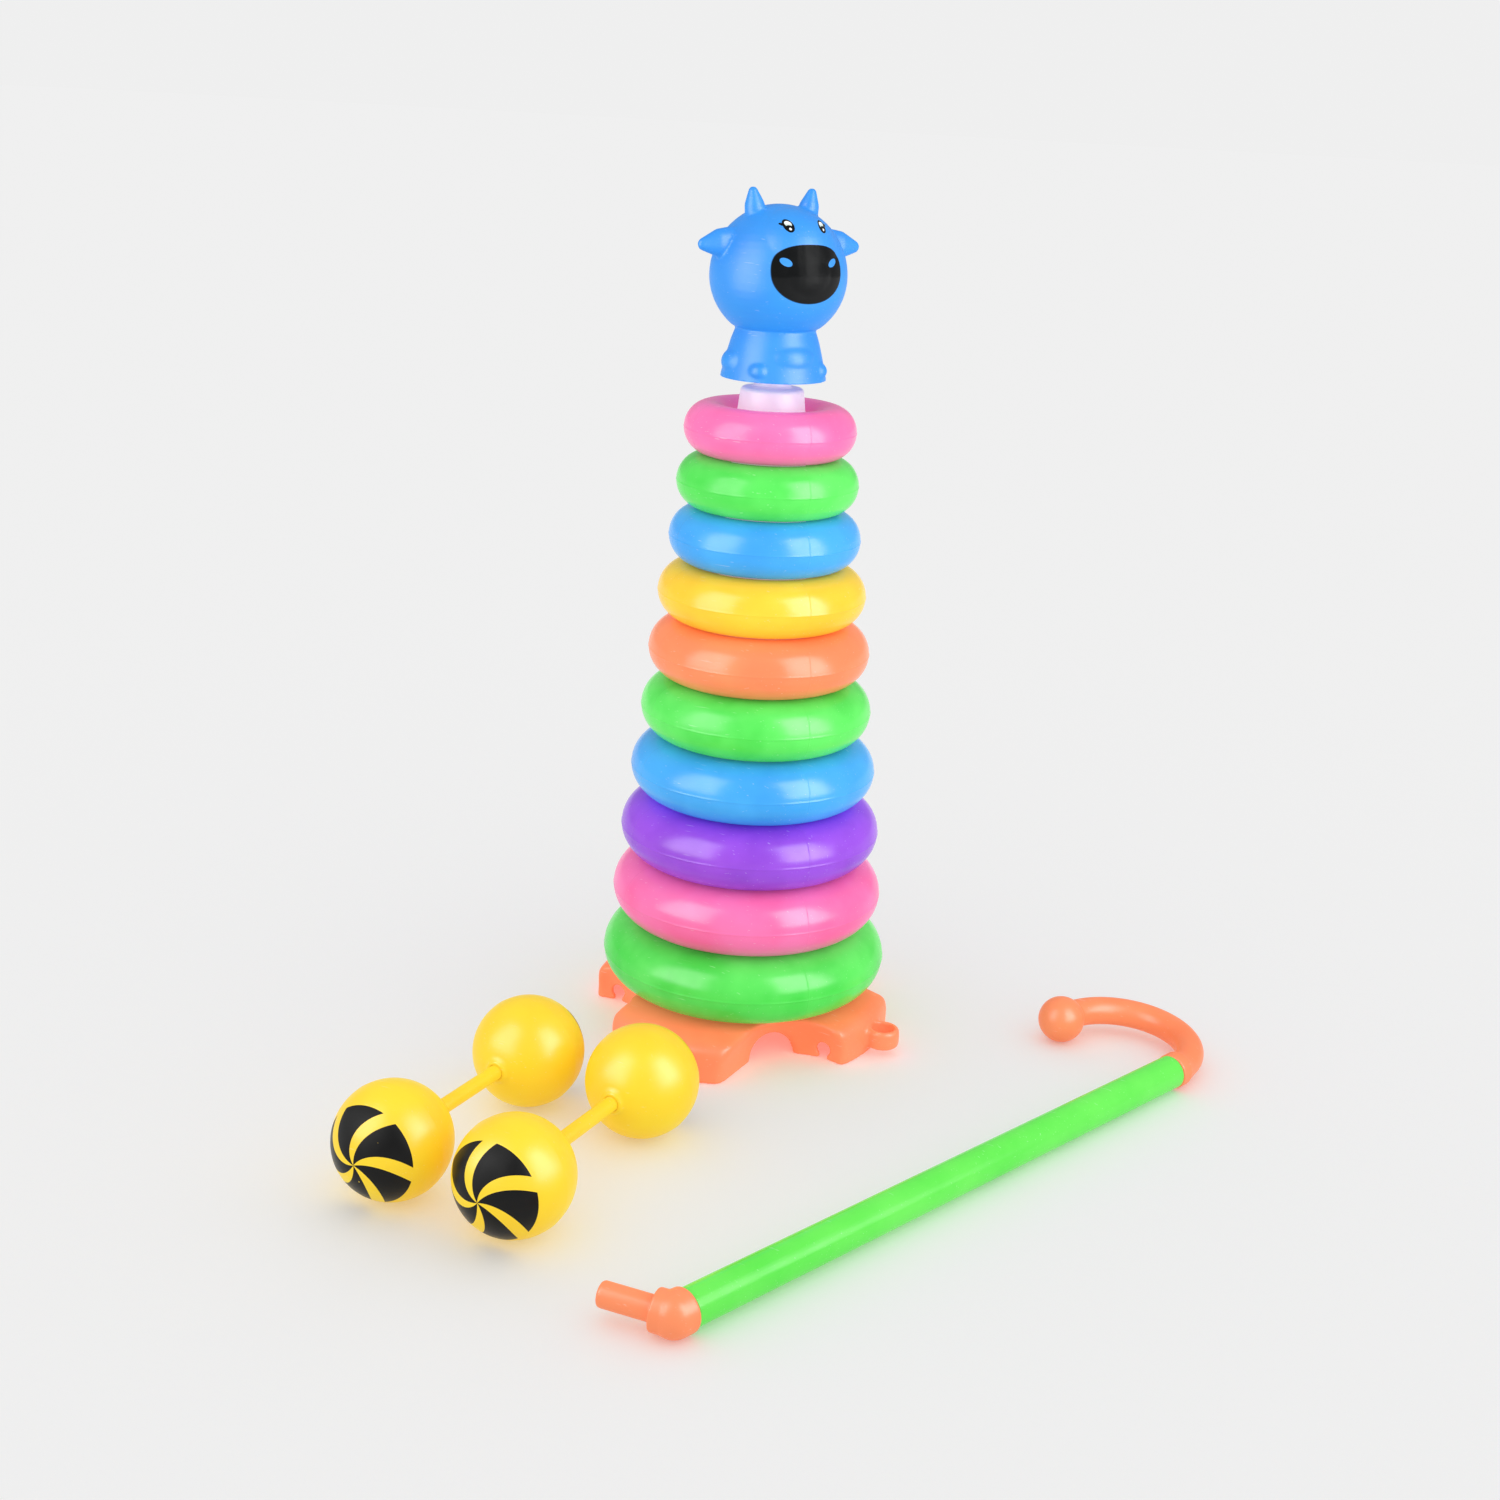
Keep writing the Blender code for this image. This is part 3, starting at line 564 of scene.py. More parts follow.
RING_ORDER = ("green", "pink", "purple", "blue", "green",
              "orange", "yellow", "blue", "green", "pink")
RING_PLAY = 1.2 * MM
RING_ROUGHNESS = 0.2
RING_PEEL = 0.35
RING_WEAR = 0.5
SEAM_WIDTH = 0.9 * MM
SEAM_HEIGHT = 0.16 * MM
RING_SIDES = 144
SECTION_STEPS = 44
BLOW_HOLE = 2 * MM
BLOW_HOLE_SIDES = 16
MOULD_MARK_TURNS = (-35, 55)
MOULD_MARK_WIDTH = 0.35 * MM
MOULD_MARK_HEIGHT = 1.2


def ring_material(name, colour, deep):
    """A glossy ring plastic, with four faint upright marks where the mould's inserts meet."""
    material, tree, shader, place = new_material(name)
    skin = add_skin(tree, place, colour, deep, RING_ROUGHNESS, RING_PEEL, RING_WEAR)
    at = add_node(tree, "ShaderNodeSeparateXYZ", None, Vector=place).outputs
    marks = None
    for turn in MOULD_MARK_TURNS:
        across = sums(tree, "MULTIPLY", at["X"], -math.sin(math.radians(turn)))
        across = sums(tree, "MULTIPLY_ADD", at["Y"], math.cos(math.radians(turn)), across)
        mark = ramp(tree, sums(tree, "ABSOLUTE", across), 0, MOULD_MARK_WIDTH, 1, 0)
        marks = mark if marks is None else sums(tree, "MAXIMUM", marks, mark)
    height = sums(tree, "MULTIPLY_ADD", marks, MOULD_MARK_HEIGHT, skin["Height"])
    wire(tree, shader, skin["Colour"], skin["Roughness"], height)
    return material


def seam_points(crest, root, height, way):
    """The fine ridge where the mould halves meet, running down (way 1) or up (way -1)."""
    wide = way * SEAM_WIDTH / 2
    fine = way * SEAM_WIDTH / 5
    return [(root, height + wide), (crest, height + fine), (crest, height - fine),
            (root, height - wide)]


ring_plastics = {name: ring_material(f"{name}_ring_plastic", colour, deep)
                 for name, colour, deep in RING_PLASTICS}

for index, colour_name in enumerate(RING_ORDER):
    node = f"ring_{index + 1:02d}"
    low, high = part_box(node)
    height = (low.z + high.z) / 2
    half_height = (high.z - low.z) / 2
    bore = pole_radius(height) + RING_PLAY
    half_width = (high.x - bore) / 2
    section = []
    for step in range(SECTION_STEPS):
        turn = math.tau * (step + 0.5) / SECTION_STEPS
        section.append((bore + half_width + (half_width - SEAM_HEIGHT) * math.cos(turn),
                        height + half_height * math.sin(turn)))
        if step == SECTION_STEPS // 2 - 1:
            section += seam_points(bore, bore + SEAM_HEIGHT, height, 1)
    section += seam_points(high.x, high.x - SEAM_HEIGHT, height, -1)
    ring = new_object(f"{node}_moulding", turned(section, RING_SIDES, ring=True))
    carve(ring, rod(BLOW_HOLE, (bore - SEAM_WIDTH, 0, height), (bore + half_width, 0, height),
                    BLOW_HOLE_SIDES))
    place_piece(ring, ring_plastics[colour_name], node, f"{colour_name}_ring_plastic", node)


# ---- figure ----------------------------------------------------------------------------------
# A hollow cow of soft blue vinyl, a satin skin with rounded folds. The muzzle, nostrils and eyes
# are pad-printed, the muzzle in gloss black. It drops over the pole's neck on a blind socket.

FACE_TURN = math.radians(-34.5)
FIGURE_BLUE = (0.031, 0.285, 0.805)
FIGURE_BLUE_DEEP = (0.028, 0.253, 0.77)
FIGURE_ROUGHNESS = 0.4
FIGURE_PEEL = 0.6
FIGURE_WEAR = 0.5
FIGURE_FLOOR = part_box("topper")[0].z + 1.2 * MM
FIGURE_TRIM = 0.4 * MM              # cut off the softened floor, to leave it flat
FIGURE_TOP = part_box("topper")[1].z
WAIST_HEIGHT = FIGURE_FLOOR + 27 * MM
WAIST_RADIUS = 21.4 * MM
SKIRT_RADIUS = 28.9 * MM
HEAD_MIDDLE = WAIST_HEIGHT + 27.2 * MM
HEAD_RADIUS = 37 * MM
HEAD_UPPER = FIGURE_TOP - 8.4 * MM - HEAD_MIDDLE
HEAD_LOWER = 34.5 * MM
HEAD_END = -50                      # degrees from level, where the head meets the waist
HEAD_STEPS = 21
SKIRT_SHARES = (0.25, 0.5, 0.75, 0.92)
SKIRT_FLARE = 0.8
FIGURE_VOXEL = 0.8 * MM
FIGURE_ROUNDS = 7
FIGURE_SIDES = 96
SOCKET_RADIUS = 10.3 * MM
SOCKET_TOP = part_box("pole_upper")[1].z + 0.3 * MM
HORN_SPREAD = 36 * MM
HORN_LENGTH = 14 * MM
HORN_ROOT = 5.7 * MM
HORN_TIP = 2.6 * MM
EAR_REACH = 48.5 * MM
EAR_START = 30 * MM
EAR_RISE = 17 * MM
EAR_ROOT = 7.8 * MM
EAR_TIP = 3.4 * MM
EAR_DROOP = math.radians(95)
EAR_SHAPE = (0.75, 1.02, 1, 1)
HORN_LEAN = math.radians(10)
TAPER_SIDES = 32
TAPER_SUNK = 6 * MM
TAPER_BELLY = 0.38                  # how far up a horn or an ear its belly comes
TAPER_FULLNESS = 0.86

# Rounded lumps, each with its centre and radii in mm, and a lean for those in pairs. Those of
# the head are measured from its middle, the others from the figure's floor.
HEAD_LUMPS = (((9.5, 0, 9), (27.6, 27, 27)), ((13, 0, 2), (25.4, 24.5, 22)))
CHEST_LUMP = ((9, 0, 12), (19, 18, 12))
HAUNCH = ((-2, 18.8, 8.6), (12, 10.6, 8.6), 0.0)
PAW = ((14.6, 15.6, 5.8), (8.6, 7, 5.8), 0.6)
ARM = ((5, 17.4, 20.5), (10, 4.8, 4), -0.4)

turn_face = Matrix.Rotation(FACE_TURN, 4, "Z")


def lump(shape, centre, radii, level=0.0, lean=0.0):
    """Add a rounded lump given in mm, above a level. The figure's face is to +X here."""
    place = (Matrix.Translation(Vector(centre) * MM + Vector((0, 0, level)))
             @ Matrix.Rotation(lean, 4, "Z") @ Matrix.Diagonal((*(Vector(radii) * MM), 1)))
    bmesh.ops.create_uvsphere(shape, u_segments=40, v_segments=24, radius=1, matrix=place)


def merge(shape, other):
    """Move another shape's mesh into this one."""
    mesh = bpy.data.meshes.new("merge")
    other.to_mesh(mesh)
    other.free()
    shape.from_mesh(mesh)
    bpy.data.meshes.remove(mesh)


def body_profile():
    """Half outline from the crown down over the head and the waist to the socket in the floor."""
    head = []
    for x, y in arc((0, 0), 1, 90, HEAD_END, HEAD_STEPS)[1:]:
        rise = HEAD_UPPER if y > 0 else HEAD_LOWER
        head.append((HEAD_RADIUS * x, HEAD_MIDDLE + rise * y))
    skirt = [(WAIST_RADIUS, WAIST_HEIGHT)]
    for share in SKIRT_SHARES:
        skirt.append((WAIST_RADIUS + (SKIRT_RADIUS - WAIST_RADIUS) * share ** SKIRT_FLARE,
                      WAIST_HEIGHT - (WAIST_HEIGHT - FIGURE_FLOOR) * share))
    skirt.append((SKIRT_RADIUS, FIGURE_FLOOR))
    return [(0, HEAD_MIDDLE + HEAD_UPPER), *head, *skirt, (SOCKET_RADIUS, FIGURE_FLOOR),
            (SOCKET_RADIUS, SOCKET_TOP), (0, SOCKET_TOP)]


def tapered(length, root, tip, place):
    """A blunt cone for a horn or an ear."""
    ball = arc((0, length - tip), tip, 90, 12, 6)
    ball[0] = (0, length)
    belly = (root * TAPER_FULLNESS + tip * (1 - TAPER_FULLNESS), length * TAPER_BELLY)
    return turned([*ball, belly, (root, 0), (root, -TAPER_SUNK), (0, -TAPER_SUNK)],
                  TAPER_SIDES, place)


figure = turned(body_profile(), FIGURE_SIDES)
for centre, radii in HEAD_LUMPS:
    lump(figure, centre, radii, HEAD_MIDDLE)
lump(figure, *CHEST_LUMP, FIGURE_FLOOR)
for side in (1, -1):
    for (x, y, z), radii, lean in (HAUNCH, PAW, ARM):
        lump(figure, (x, side * y, z), radii, FIGURE_FLOOR, side * lean)
    ear_root = Vector((0, side * EAR_START, HEAD_MIDDLE + EAR_RISE))
    ear_place = (Matrix.Translation(ear_root) @ Matrix.Rotation(-side * EAR_DROOP, 4, "X")
                 @ Matrix.Diagonal(EAR_SHAPE))
    merge(figure, tapered(EAR_REACH - EAR_START, EAR_ROOT, EAR_TIP, ear_place))
    horn_tip = Vector((0, side * HORN_SPREAD / 2, FIGURE_TOP))
    horn_place = (Matrix.Translation(horn_tip) @ Matrix.Rotation(-side * HORN_LEAN, 4, "X")
                  @ Matrix.Translation((0, 0, -HORN_LENGTH)))
    merge(figure, tapered(HORN_LENGTH, HORN_ROOT, HORN_TIP, horn_place))
bmesh.ops.transform(figure, matrix=turn_face, verts=figure.verts)
topper = new_object("figure_moulding", figure)
soften(topper, FIGURE_VOXEL, FIGURE_ROUNDS)
carve(topper, block((-HEAD_RADIUS, -HEAD_RADIUS, 0),
                    (HEAD_RADIUS, HEAD_RADIUS, FIGURE_FLOOR + FIGURE_TRIM)))

MUZZLE_MIDDLE = FIGURE_FLOOR + 58.4 * MM
MUZZLE_WIDTH = 20.8 * MM
MUZZLE_UPPER = 14.6 * MM
MUZZLE_LOWER = 15.6 * MM
MUZZLE_BLACK = (0.003, 0.0035, 0.004)
NOSTRIL_PLACE = Vector((13.6 * MM, MUZZLE_MIDDLE + 5.4 * MM))
NOSTRIL_SIZE = (3.1 * MM, 1.9 * MM)
NOSTRIL_LEAN = math.radians(-26)
EYE_PLACE = Vector((9.8 * MM, MUZZLE_MIDDLE + 23.2 * MM))
EYE_SIZE = (2.6 * MM, 3.1 * MM)
EYE_WHITE = (0.9, 0.93, 0.9)
EYE_GREEN = (0.16, 0.34, 0.28)
EYE_FADE = (-0.6 * MM, 1.4 * MM)    # from green to white, up the eye
# Parts of an eye: place from the eye's middle and size, in mm.
LASH = ((2.6, 0.6), (1.3, 0.7))
LASH_LEAN = 0.15
IRIS = ((0.1, 0.9), (1.6, 1.4))
LID = ((0.2, -0.9), (1.6, 1.3))
GLINT = ((0.3, -1.4), (0.6, 0.6))
MUZZLE_CURVES = (2.5, 2.1)          # how square its upper and lower halves are
FACE_START = 5 * MM                 # nothing is printed behind this
PRINT_EDGE = (0.97, 1.03)
PRINT_GLOSS = -0.25
PRINT_SMOOTHNESS = -0.85
PRINT_HEIGHT = 0.5


def oval_mask(tree, across, up, centre, size, lean=0.0, power=2.0):
    """1 inside an oval or a squared oval on the face's flat picture, 0 outside."""
    off_across = sums(tree, "SUBTRACT", across, centre[0])
    off_up = sums(tree, "SUBTRACT", up, centre[1])
    along = sums(tree, "MULTIPLY", off_across, math.cos(lean) / size[0])
    along = sums(tree, "MULTIPLY_ADD", off_up, math.sin(lean) / size[0], along)
    aside = sums(tree, "MULTIPLY", off_up, math.cos(lean) / size[1])
    aside = sums(tree, "MULTIPLY_ADD", off_across, -math.sin(lean) / size[1], aside)
    total = sums(tree, "POWER", sums(tree, "ABSOLUTE", along), power)
    total = sums(tree, "ADD", total, sums(tree, "POWER", sums(tree, "ABSOLUTE", aside), power))
    return ramp(tree, total, *PRINT_EDGE, 1.0, 0.0)


def eye_mask(tree, across, up, middle, part, lean=0.0):
    """1 inside one part of the eye at this place, 0 outside."""
    offset, size = part
    return oval_mask(tree, across, up, middle + Vector(offset) * MM, Vector(size) * MM, lean)


def face_material():
    """Satin blue vinyl with the face printed on it."""
    material, tree, shader, place = new_material("blue_figure_plastic")
    skin = add_skin(tree, place, FIGURE_BLUE, FIGURE_BLUE_DEEP, FIGURE_ROUGHNESS, FIGURE_PEEL,
                    FIGURE_WEAR)
    aimed = add_node(tree, "ShaderNodeMapping", None, Vector=place, Rotation=(0, 0, -FACE_TURN))
    at = add_node(tree, "ShaderNodeSeparateXYZ", None, Vector=aimed.outputs[0]).outputs
    front = sums(tree, "GREATER_THAN", at["X"], FACE_START)
    mirrored = sums(tree, "ABSOLUTE", at["Y"])
    upper, lower = (oval_mask(tree, at["Y"], at["Z"], (0, MUZZLE_MIDDLE), (MUZZLE_WIDTH, reach),
                              0, curve)
                    for reach, curve in zip((MUZZLE_UPPER, MUZZLE_LOWER), MUZZLE_CURVES))
    above = sums(tree, "GREATER_THAN", at["Z"], MUZZLE_MIDDLE)
    muzzle = sums(tree, "MAXIMUM", sums(tree, "MULTIPLY", upper, above),
                  sums(tree, "MULTIPLY", lower, sums(tree, "SUBTRACT", 1.0, above)))
    nostril = oval_mask(tree, mirrored, at["Z"], NOSTRIL_PLACE, NOSTRIL_SIZE, -NOSTRIL_LEAN)
    muzzle = sums(tree, "MULTIPLY", muzzle, sums(tree, "SUBTRACT", 1.0, nostril))
    eye = oval_mask(tree, mirrored, at["Z"], EYE_PLACE, EYE_SIZE)
    lash = eye_mask(tree, mirrored, at["Z"], EYE_PLACE, LASH, LASH_LEAN)
    glints = None
    irises = None
    for side in (1, -1):
        middle = Vector((side * EYE_PLACE.x, EYE_PLACE.y))
        iris, lid, glint = (eye_mask(tree, at["Y"], at["Z"], middle, part)
                            for part in (IRIS, LID, GLINT))
        iris = sums(tree, "MULTIPLY", iris, sums(tree, "SUBTRACT", 1.0, lid))
        glints = glint if glints is None else sums(tree, "MAXIMUM", glints, glint)
        irises = iris if irises is None else sums(tree, "MAXIMUM", irises, iris)
    black = sums(tree, "MAXIMUM", muzzle, sums(tree, "MAXIMUM", eye, lash))
    black = sums(tree, "MULTIPLY", black, front)
    printed = blend(tree, black, skin["Colour"], (*MUZZLE_BLACK, 1))
    fade = ramp(tree, at["Z"], EYE_PLACE.y + EYE_FADE[0], EYE_PLACE.y + EYE_FADE[1])
    iris_colour = blend(tree, fade, (*EYE_GREEN, 1), (*EYE_WHITE, 1))
    printed = blend(tree, sums(tree, "MULTIPLY", irises, front), printed, iris_colour)
    printed = blend(tree, sums(tree, "MULTIPLY", glints, front), printed, (*EYE_WHITE, 1))
    roughness = sums(tree, "MULTIPLY_ADD", black, PRINT_GLOSS, skin["Roughness"])
    peel_kept = sums(tree, "MULTIPLY_ADD", black, PRINT_SMOOTHNESS, 1.0)
    height = sums(tree, "MULTIPLY", skin["Height"], peel_kept)
    height = sums(tree, "MULTIPLY_ADD", black, PRINT_HEIGHT, height)
    wire(tree, shader, printed, roughness, height)
    return material


place_piece(topper, face_material(), "topper", "blue_figure_plastic", "topper")


# ---- wheelsets -------------------------------------------------------------------------------
# Two pairs of hollow yellow balls, each pair on a plain yellow rod that runs into both balls. The
# outer end of each ball carries a five-bladed swirl, printed in black.

BALL_RADIUS = 29.99 * MM
BALL_SIDES = 96
BALL_ROUGHNESS = 0.34
BALL_PEEL = 0.5
BALL_WEAR = 0.4
BALL_YELLOW = (0.9, 0.644, 0.0285)
BALL_YELLOW_DEEP = (0.9, 0.59, 0.024)
BALL_SEAM = 0.12 * MM
BALL_SEAM_HALF = 0.2 * MM
AXLE_RADIUS = 4 * MM
AXLE_ROUND = 0.8 * MM
AXLE_SIDES = 40
AXLE_PLAY = 0.3 * MM
HUB_RADIUS = 6 * MM
HUB_CLEARANCE = 1.12                # the ball's round stops this share outside the hub
HUB_BOSS = 0.8 * MM
HUB_DEPTH = 12 * MM
BLADES = 5
BLADE_TWIST = 0.85
BLADE_EDGE = 0.99
BLADE_WIDTHS = (0.27, 0.375)        # shares of a blade's turn that are black, pole to edge
BLADE_PLACED = math.radians(56)     # the blades' turns were measured this far from the pole
FLAKE_SCALE = 260
FLAKE_LEVEL = 0.735
PRINT_BLACK = (0.003, 0.003, 0.003)
SWIRL_GLOSS = -0.03
SWIRL_HEIGHT = 0.4
PHASES = {"a_near": math.radians(28), "a_far": math.radians(75),
          "b_near": math.radians(-11), "b_far": math.radians(5)}


def make_swirl_group():
    """The printed swirl on a ball whose outer pole is at -Y: 1 where it is black."""
    group, given, result = new_group("swirl_print", [("Vector", VECTOR), ("Phase", FLOAT)],
                                     [("Mask", FLOAT)])
    at = add_node(group, "ShaderNodeSeparateXYZ", None, Vector=given.outputs["Vector"]).outputs
    span = add_node(group, "ShaderNodeVectorMath", {"operation": "LENGTH"})
    feed(group, span.inputs[0], given.outputs["Vector"])
    away = sums(group, "DIVIDE", sums(group, "MULTIPLY", at["Y"], -1.0), span.outputs["Value"])
    polar = sums(group, "ARCCOSINE", sums(group, "MINIMUM", away, 1.0))
    turn = sums(group, "ARCTAN2", at["Z"], at["X"])
    turn = sums(group, "MULTIPLY_ADD", polar, BLADE_TWIST, turn)
    turn = sums(group, "SUBTRACT", turn, given.outputs["Phase"])
    turn = sums(group, "MULTIPLY", turn, BLADES / math.tau)
    off = sums(group, "ABSOLUTE", sums(group, "WRAP", turn, 0.5, -0.5))
    width = ramp(group, polar, 0.0, BLADE_EDGE, *BLADE_WIDTHS)
    blade = sums(group, "LESS_THAN", off, width)
    inside = sums(group, "LESS_THAN", polar, BLADE_EDGE)
    flake = add_node(group, "ShaderNodeTexNoise", None, Vector=given.outputs["Vector"],
                     Scale=FLAKE_SCALE, Detail=3.0)
    sound = sums(group, "LESS_THAN", flake.outputs[0], FLAKE_LEVEL)
    mask = sums(group, "MULTIPLY", sums(group, "MULTIPLY", blade, inside), sound)
    group.links.new(mask, result.inputs["Mask"])
    return group


SWIRL_GROUP = make_swirl_group()


def ball_material(name, centre, half_turn, phase):
    """Satin yellow, with the swirl centred on this ball's outer pole."""
    material, tree, shader, place = new_material(name)
    skin = add_skin(tree, place, BALL_YELLOW, BALL_YELLOW_DEEP, BALL_ROUGHNESS, BALL_PEEL,
                    BALL_WEAR)
    shift = add_node(tree, "ShaderNodeVectorMath", {"operation": "SUBTRACT"})
    feed(tree, shift.inputs[0], place)
    shift.inputs[1].default_value = centre
    aimed = add_node(tree, "ShaderNodeMapping", None, Vector=shift.outputs[0],
                     Rotation=(0, 0, half_turn))
    swirl = tree.nodes.new("ShaderNodeGroup")
    swirl.node_tree = SWIRL_GROUP
    feed(tree, swirl.inputs["Vector"], aimed.outputs[0])
    swirl.inputs["Phase"].default_value = phase
    mask = swirl.outputs["Mask"]
    colour = blend(tree, mask, skin["Colour"], (*PRINT_BLACK, 1))
    roughness = sums(tree, "MULTIPLY_ADD", mask, SWIRL_GLOSS, skin["Roughness"])
    height = sums(tree, "MULTIPLY_ADD", mask, SWIRL_HEIGHT, skin["Height"])
    wire(tree, shader, colour, roughness, height)
    return material


def ball_section():
    """Half outline of a ball round its axle, which enters from below."""
    shell = BALL_RADIUS - BALL_SEAM
    skin = [(0, shell), *arc((0, 0), shell, 86, 4, 20), (BALL_RADIUS, BALL_SEAM_HALF),
            (BALL_RADIUS, -BALL_SEAM_HALF)]
    last = math.degrees(math.acos(HUB_RADIUS * HUB_CLEARANCE / shell))
    skin += arc((0, 0), shell, -4, -last, 18)
    boss = -BALL_RADIUS - HUB_BOSS
    bore = AXLE_RADIUS + AXLE_PLAY
    skin += [(HUB_RADIUS, boss + HUB_BOSS), (HUB_RADIUS - HUB_BOSS / 2, boss + HUB_BOSS / 3),
             (HUB_RADIUS - HUB_BOSS, boss), (bore, boss), (bore, boss + HUB_DEPTH),
             (0, boss + HUB_DEPTH)]
    return skin


yellow_plastic = moulded("yellow_wheel_plastic", BALL_YELLOW, BALL_YELLOW_DEEP, BALL_ROUGHNESS)
for tag in ("a", "b"):
    low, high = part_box(f"axle_{tag}")
    middle = (low + high) / 2
    reach = (high.y - low.y) / 2
    bar = [(0, reach), *arc((AXLE_RADIUS - AXLE_ROUND, reach - AXLE_ROUND), AXLE_ROUND, 90, 0, 4)]
    bar += [(radius, -height) for radius, height in reversed(bar)]
    along = Matrix.Translation(middle) @ Matrix.Rotation(-math.pi / 2, 4, "X")
    axle = new_object(f"axle_{tag}_rod", turned(bar, AXLE_SIDES, along))
    place_piece(axle, yellow_plastic, f"axle_{tag}", "yellow_wheel_plastic", f"axle_{tag}")
    for end, sign in (("near", -1), ("far", 1)):
        node = f"ball_{tag}_{end}"
        low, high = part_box(node)
        outer = low.y if sign < 0 else high.y
        centre = Vector((middle.x, outer - sign * BALL_RADIUS, middle.z))
        place = Matrix.Translation(centre) @ Matrix.Rotation(-sign * math.pi / 2, 4, "X")
        ball = new_object(f"{node}_moulding", turned(ball_section(), BALL_SIDES, place))
        phase = PHASES[f"{tag}_{end}"] + BLADE_TWIST * BLADE_PLACED
        finish = ball_material(f"{node}_plastic", centre, 0 if sign < 0 else math.pi, phase)
        place_piece(ball, finish, node, "yellow_wheel_plastic", node)


# ---- stick -----------------------------------------------------------------------------------
# A green extruded tube with a solid orange cane handle plugged into one end. The elbow plugged
# into the other carries the peg that drops into the base's pull loop.

TUBE_RADIUS = 9.4 * MM
TUBE_WALL = 1.2 * MM
TUBE_LENGTH = 368 * MM
TUBE_TURN = math.radians(72.2)
TUBE_FAR_END = Vector((249.3, 50.4)) * MM
TUBE_GREEN = (0.142, 0.749, 0.0935)
TUBE_GREEN_DEEP = (0.102, 0.70, 0.07)
TUBE_ROUGHNESS = 0.16
TUBE_PEEL = 0.2
TUBE_WEAR = 0.6
TUBE_SIDES = 80
TUBE_LIP = 0.35 * MM
DRAW_SHAPE = (6, 900, 900)
DRAW_HEIGHT = 0.6
STICK_PLAY = 0.15 * MM              # between the stick and the floor
COLLAR_STEP = 0.5 * MM
HOOK_COLLAR = 7 * MM
HOOK_RADIUS = 38.8 * MM
HOOK_ROD = 8.15 * MM
HOOK_STEPS = 56
HOOK_SIDES = 48
HOOK_THINNING = 4                   # of those steps, from the collar down to the rod
KNOB_RADIUS = 13.5 * MM
HOOK_TAIL = 7 * MM
ELBOW_RADIUS = 10.8 * MM
ELBOW_TURN = math.radians(116.4)
PEG_RADIUS = 6.2 * MM
PEG_LENGTH = 35.8 * MM
PEG_EDGE = 2 * MM
SOCKET_OUTSIDE = 10.1 * MM
SOCKET_LENGTH = 9.4 * MM            # from the elbow's centre, round the peg's root
PLUG_LENGTH = 24 * MM
PLUG_PLAY = 0.3 * MM
COLLAR_EDGE = 0.4 * MM
SOCKET_EDGE = 0.6 * MM
ELBOW_LEAD = 1 * MM
MOULDING_SIDES = 64
STICK_ORANGE = (0.9, 0.264, 0.113)
STICK_ORANGE_DEEP = (0.9, 0.22, 0.087)
STICK_ROUGHNESS = 0.34
STICK_VOXEL = 0.5 * MM
HANDLE_ROUNDS = 5
ELBOW_ROUNDS = 3

collar_radius = TUBE_RADIUS + COLLAR_STEP
roll = math.asin((KNOB_RADIUS - collar_radius) / (2 * HOOK_RADIUS))
dip = math.asin((ELBOW_RADIUS - collar_radius) / (TUBE_LENGTH + HOOK_COLLAR))
stick = (Matrix.Translation((*TUBE_FAR_END, collar_radius + STICK_PLAY))
         @ Matrix.Rotation(TUBE_TURN, 4, "Z") @ Matrix.Rotation(dip, 4, "Y")
         @ Matrix.Rotation(roll, 4, "X"))
to_x = Matrix.Rotation(math.pi / 2, 4, "Y")


def tube_material():
    """Glossy extruded green, with the fine draw lines that run along the tube."""
    material, tree, shader, place = new_material("green_tube_plastic")
    skin = add_skin(tree, place, TUBE_GREEN, TUBE_GREEN_DEEP, TUBE_ROUGHNESS, TUBE_PEEL,
                    TUBE_WEAR)
    aimed = add_node(tree, "ShaderNodeMapping", None, Vector=place, Rotation=(0, 0, -TUBE_TURN))
    drawn = add_node(tree, "ShaderNodeMapping", None, Vector=aimed.outputs[0], Scale=DRAW_SHAPE)
    lines = add_node(tree, "ShaderNodeTexNoise", None, Vector=drawn.outputs[0], Scale=1.0,
                     Detail=2.0)
    height = sums(tree, "MULTIPLY_ADD", lines.outputs[0], DRAW_HEIGHT, skin["Height"])
    wire(tree, shader, skin["Colour"], skin["Roughness"], height)
    return material


inner = TUBE_RADIUS - TUBE_WALL
tube_section = [(TUBE_RADIUS - TUBE_LIP, 0), (TUBE_RADIUS, -TUBE_LIP),
                (TUBE_RADIUS, TUBE_LIP - TUBE_LENGTH), (TUBE_RADIUS - TUBE_LIP, -TUBE_LENGTH),
                (inner, -TUBE_LENGTH), (inner, 0)]
tube = new_object("stick_tube_extrusion", turned(tube_section, TUBE_SIDES, stick @ to_x, ring=True))
place_piece(tube, tube_material(), "stick", "green_tube_plastic", "stick_tube", sharp=35)

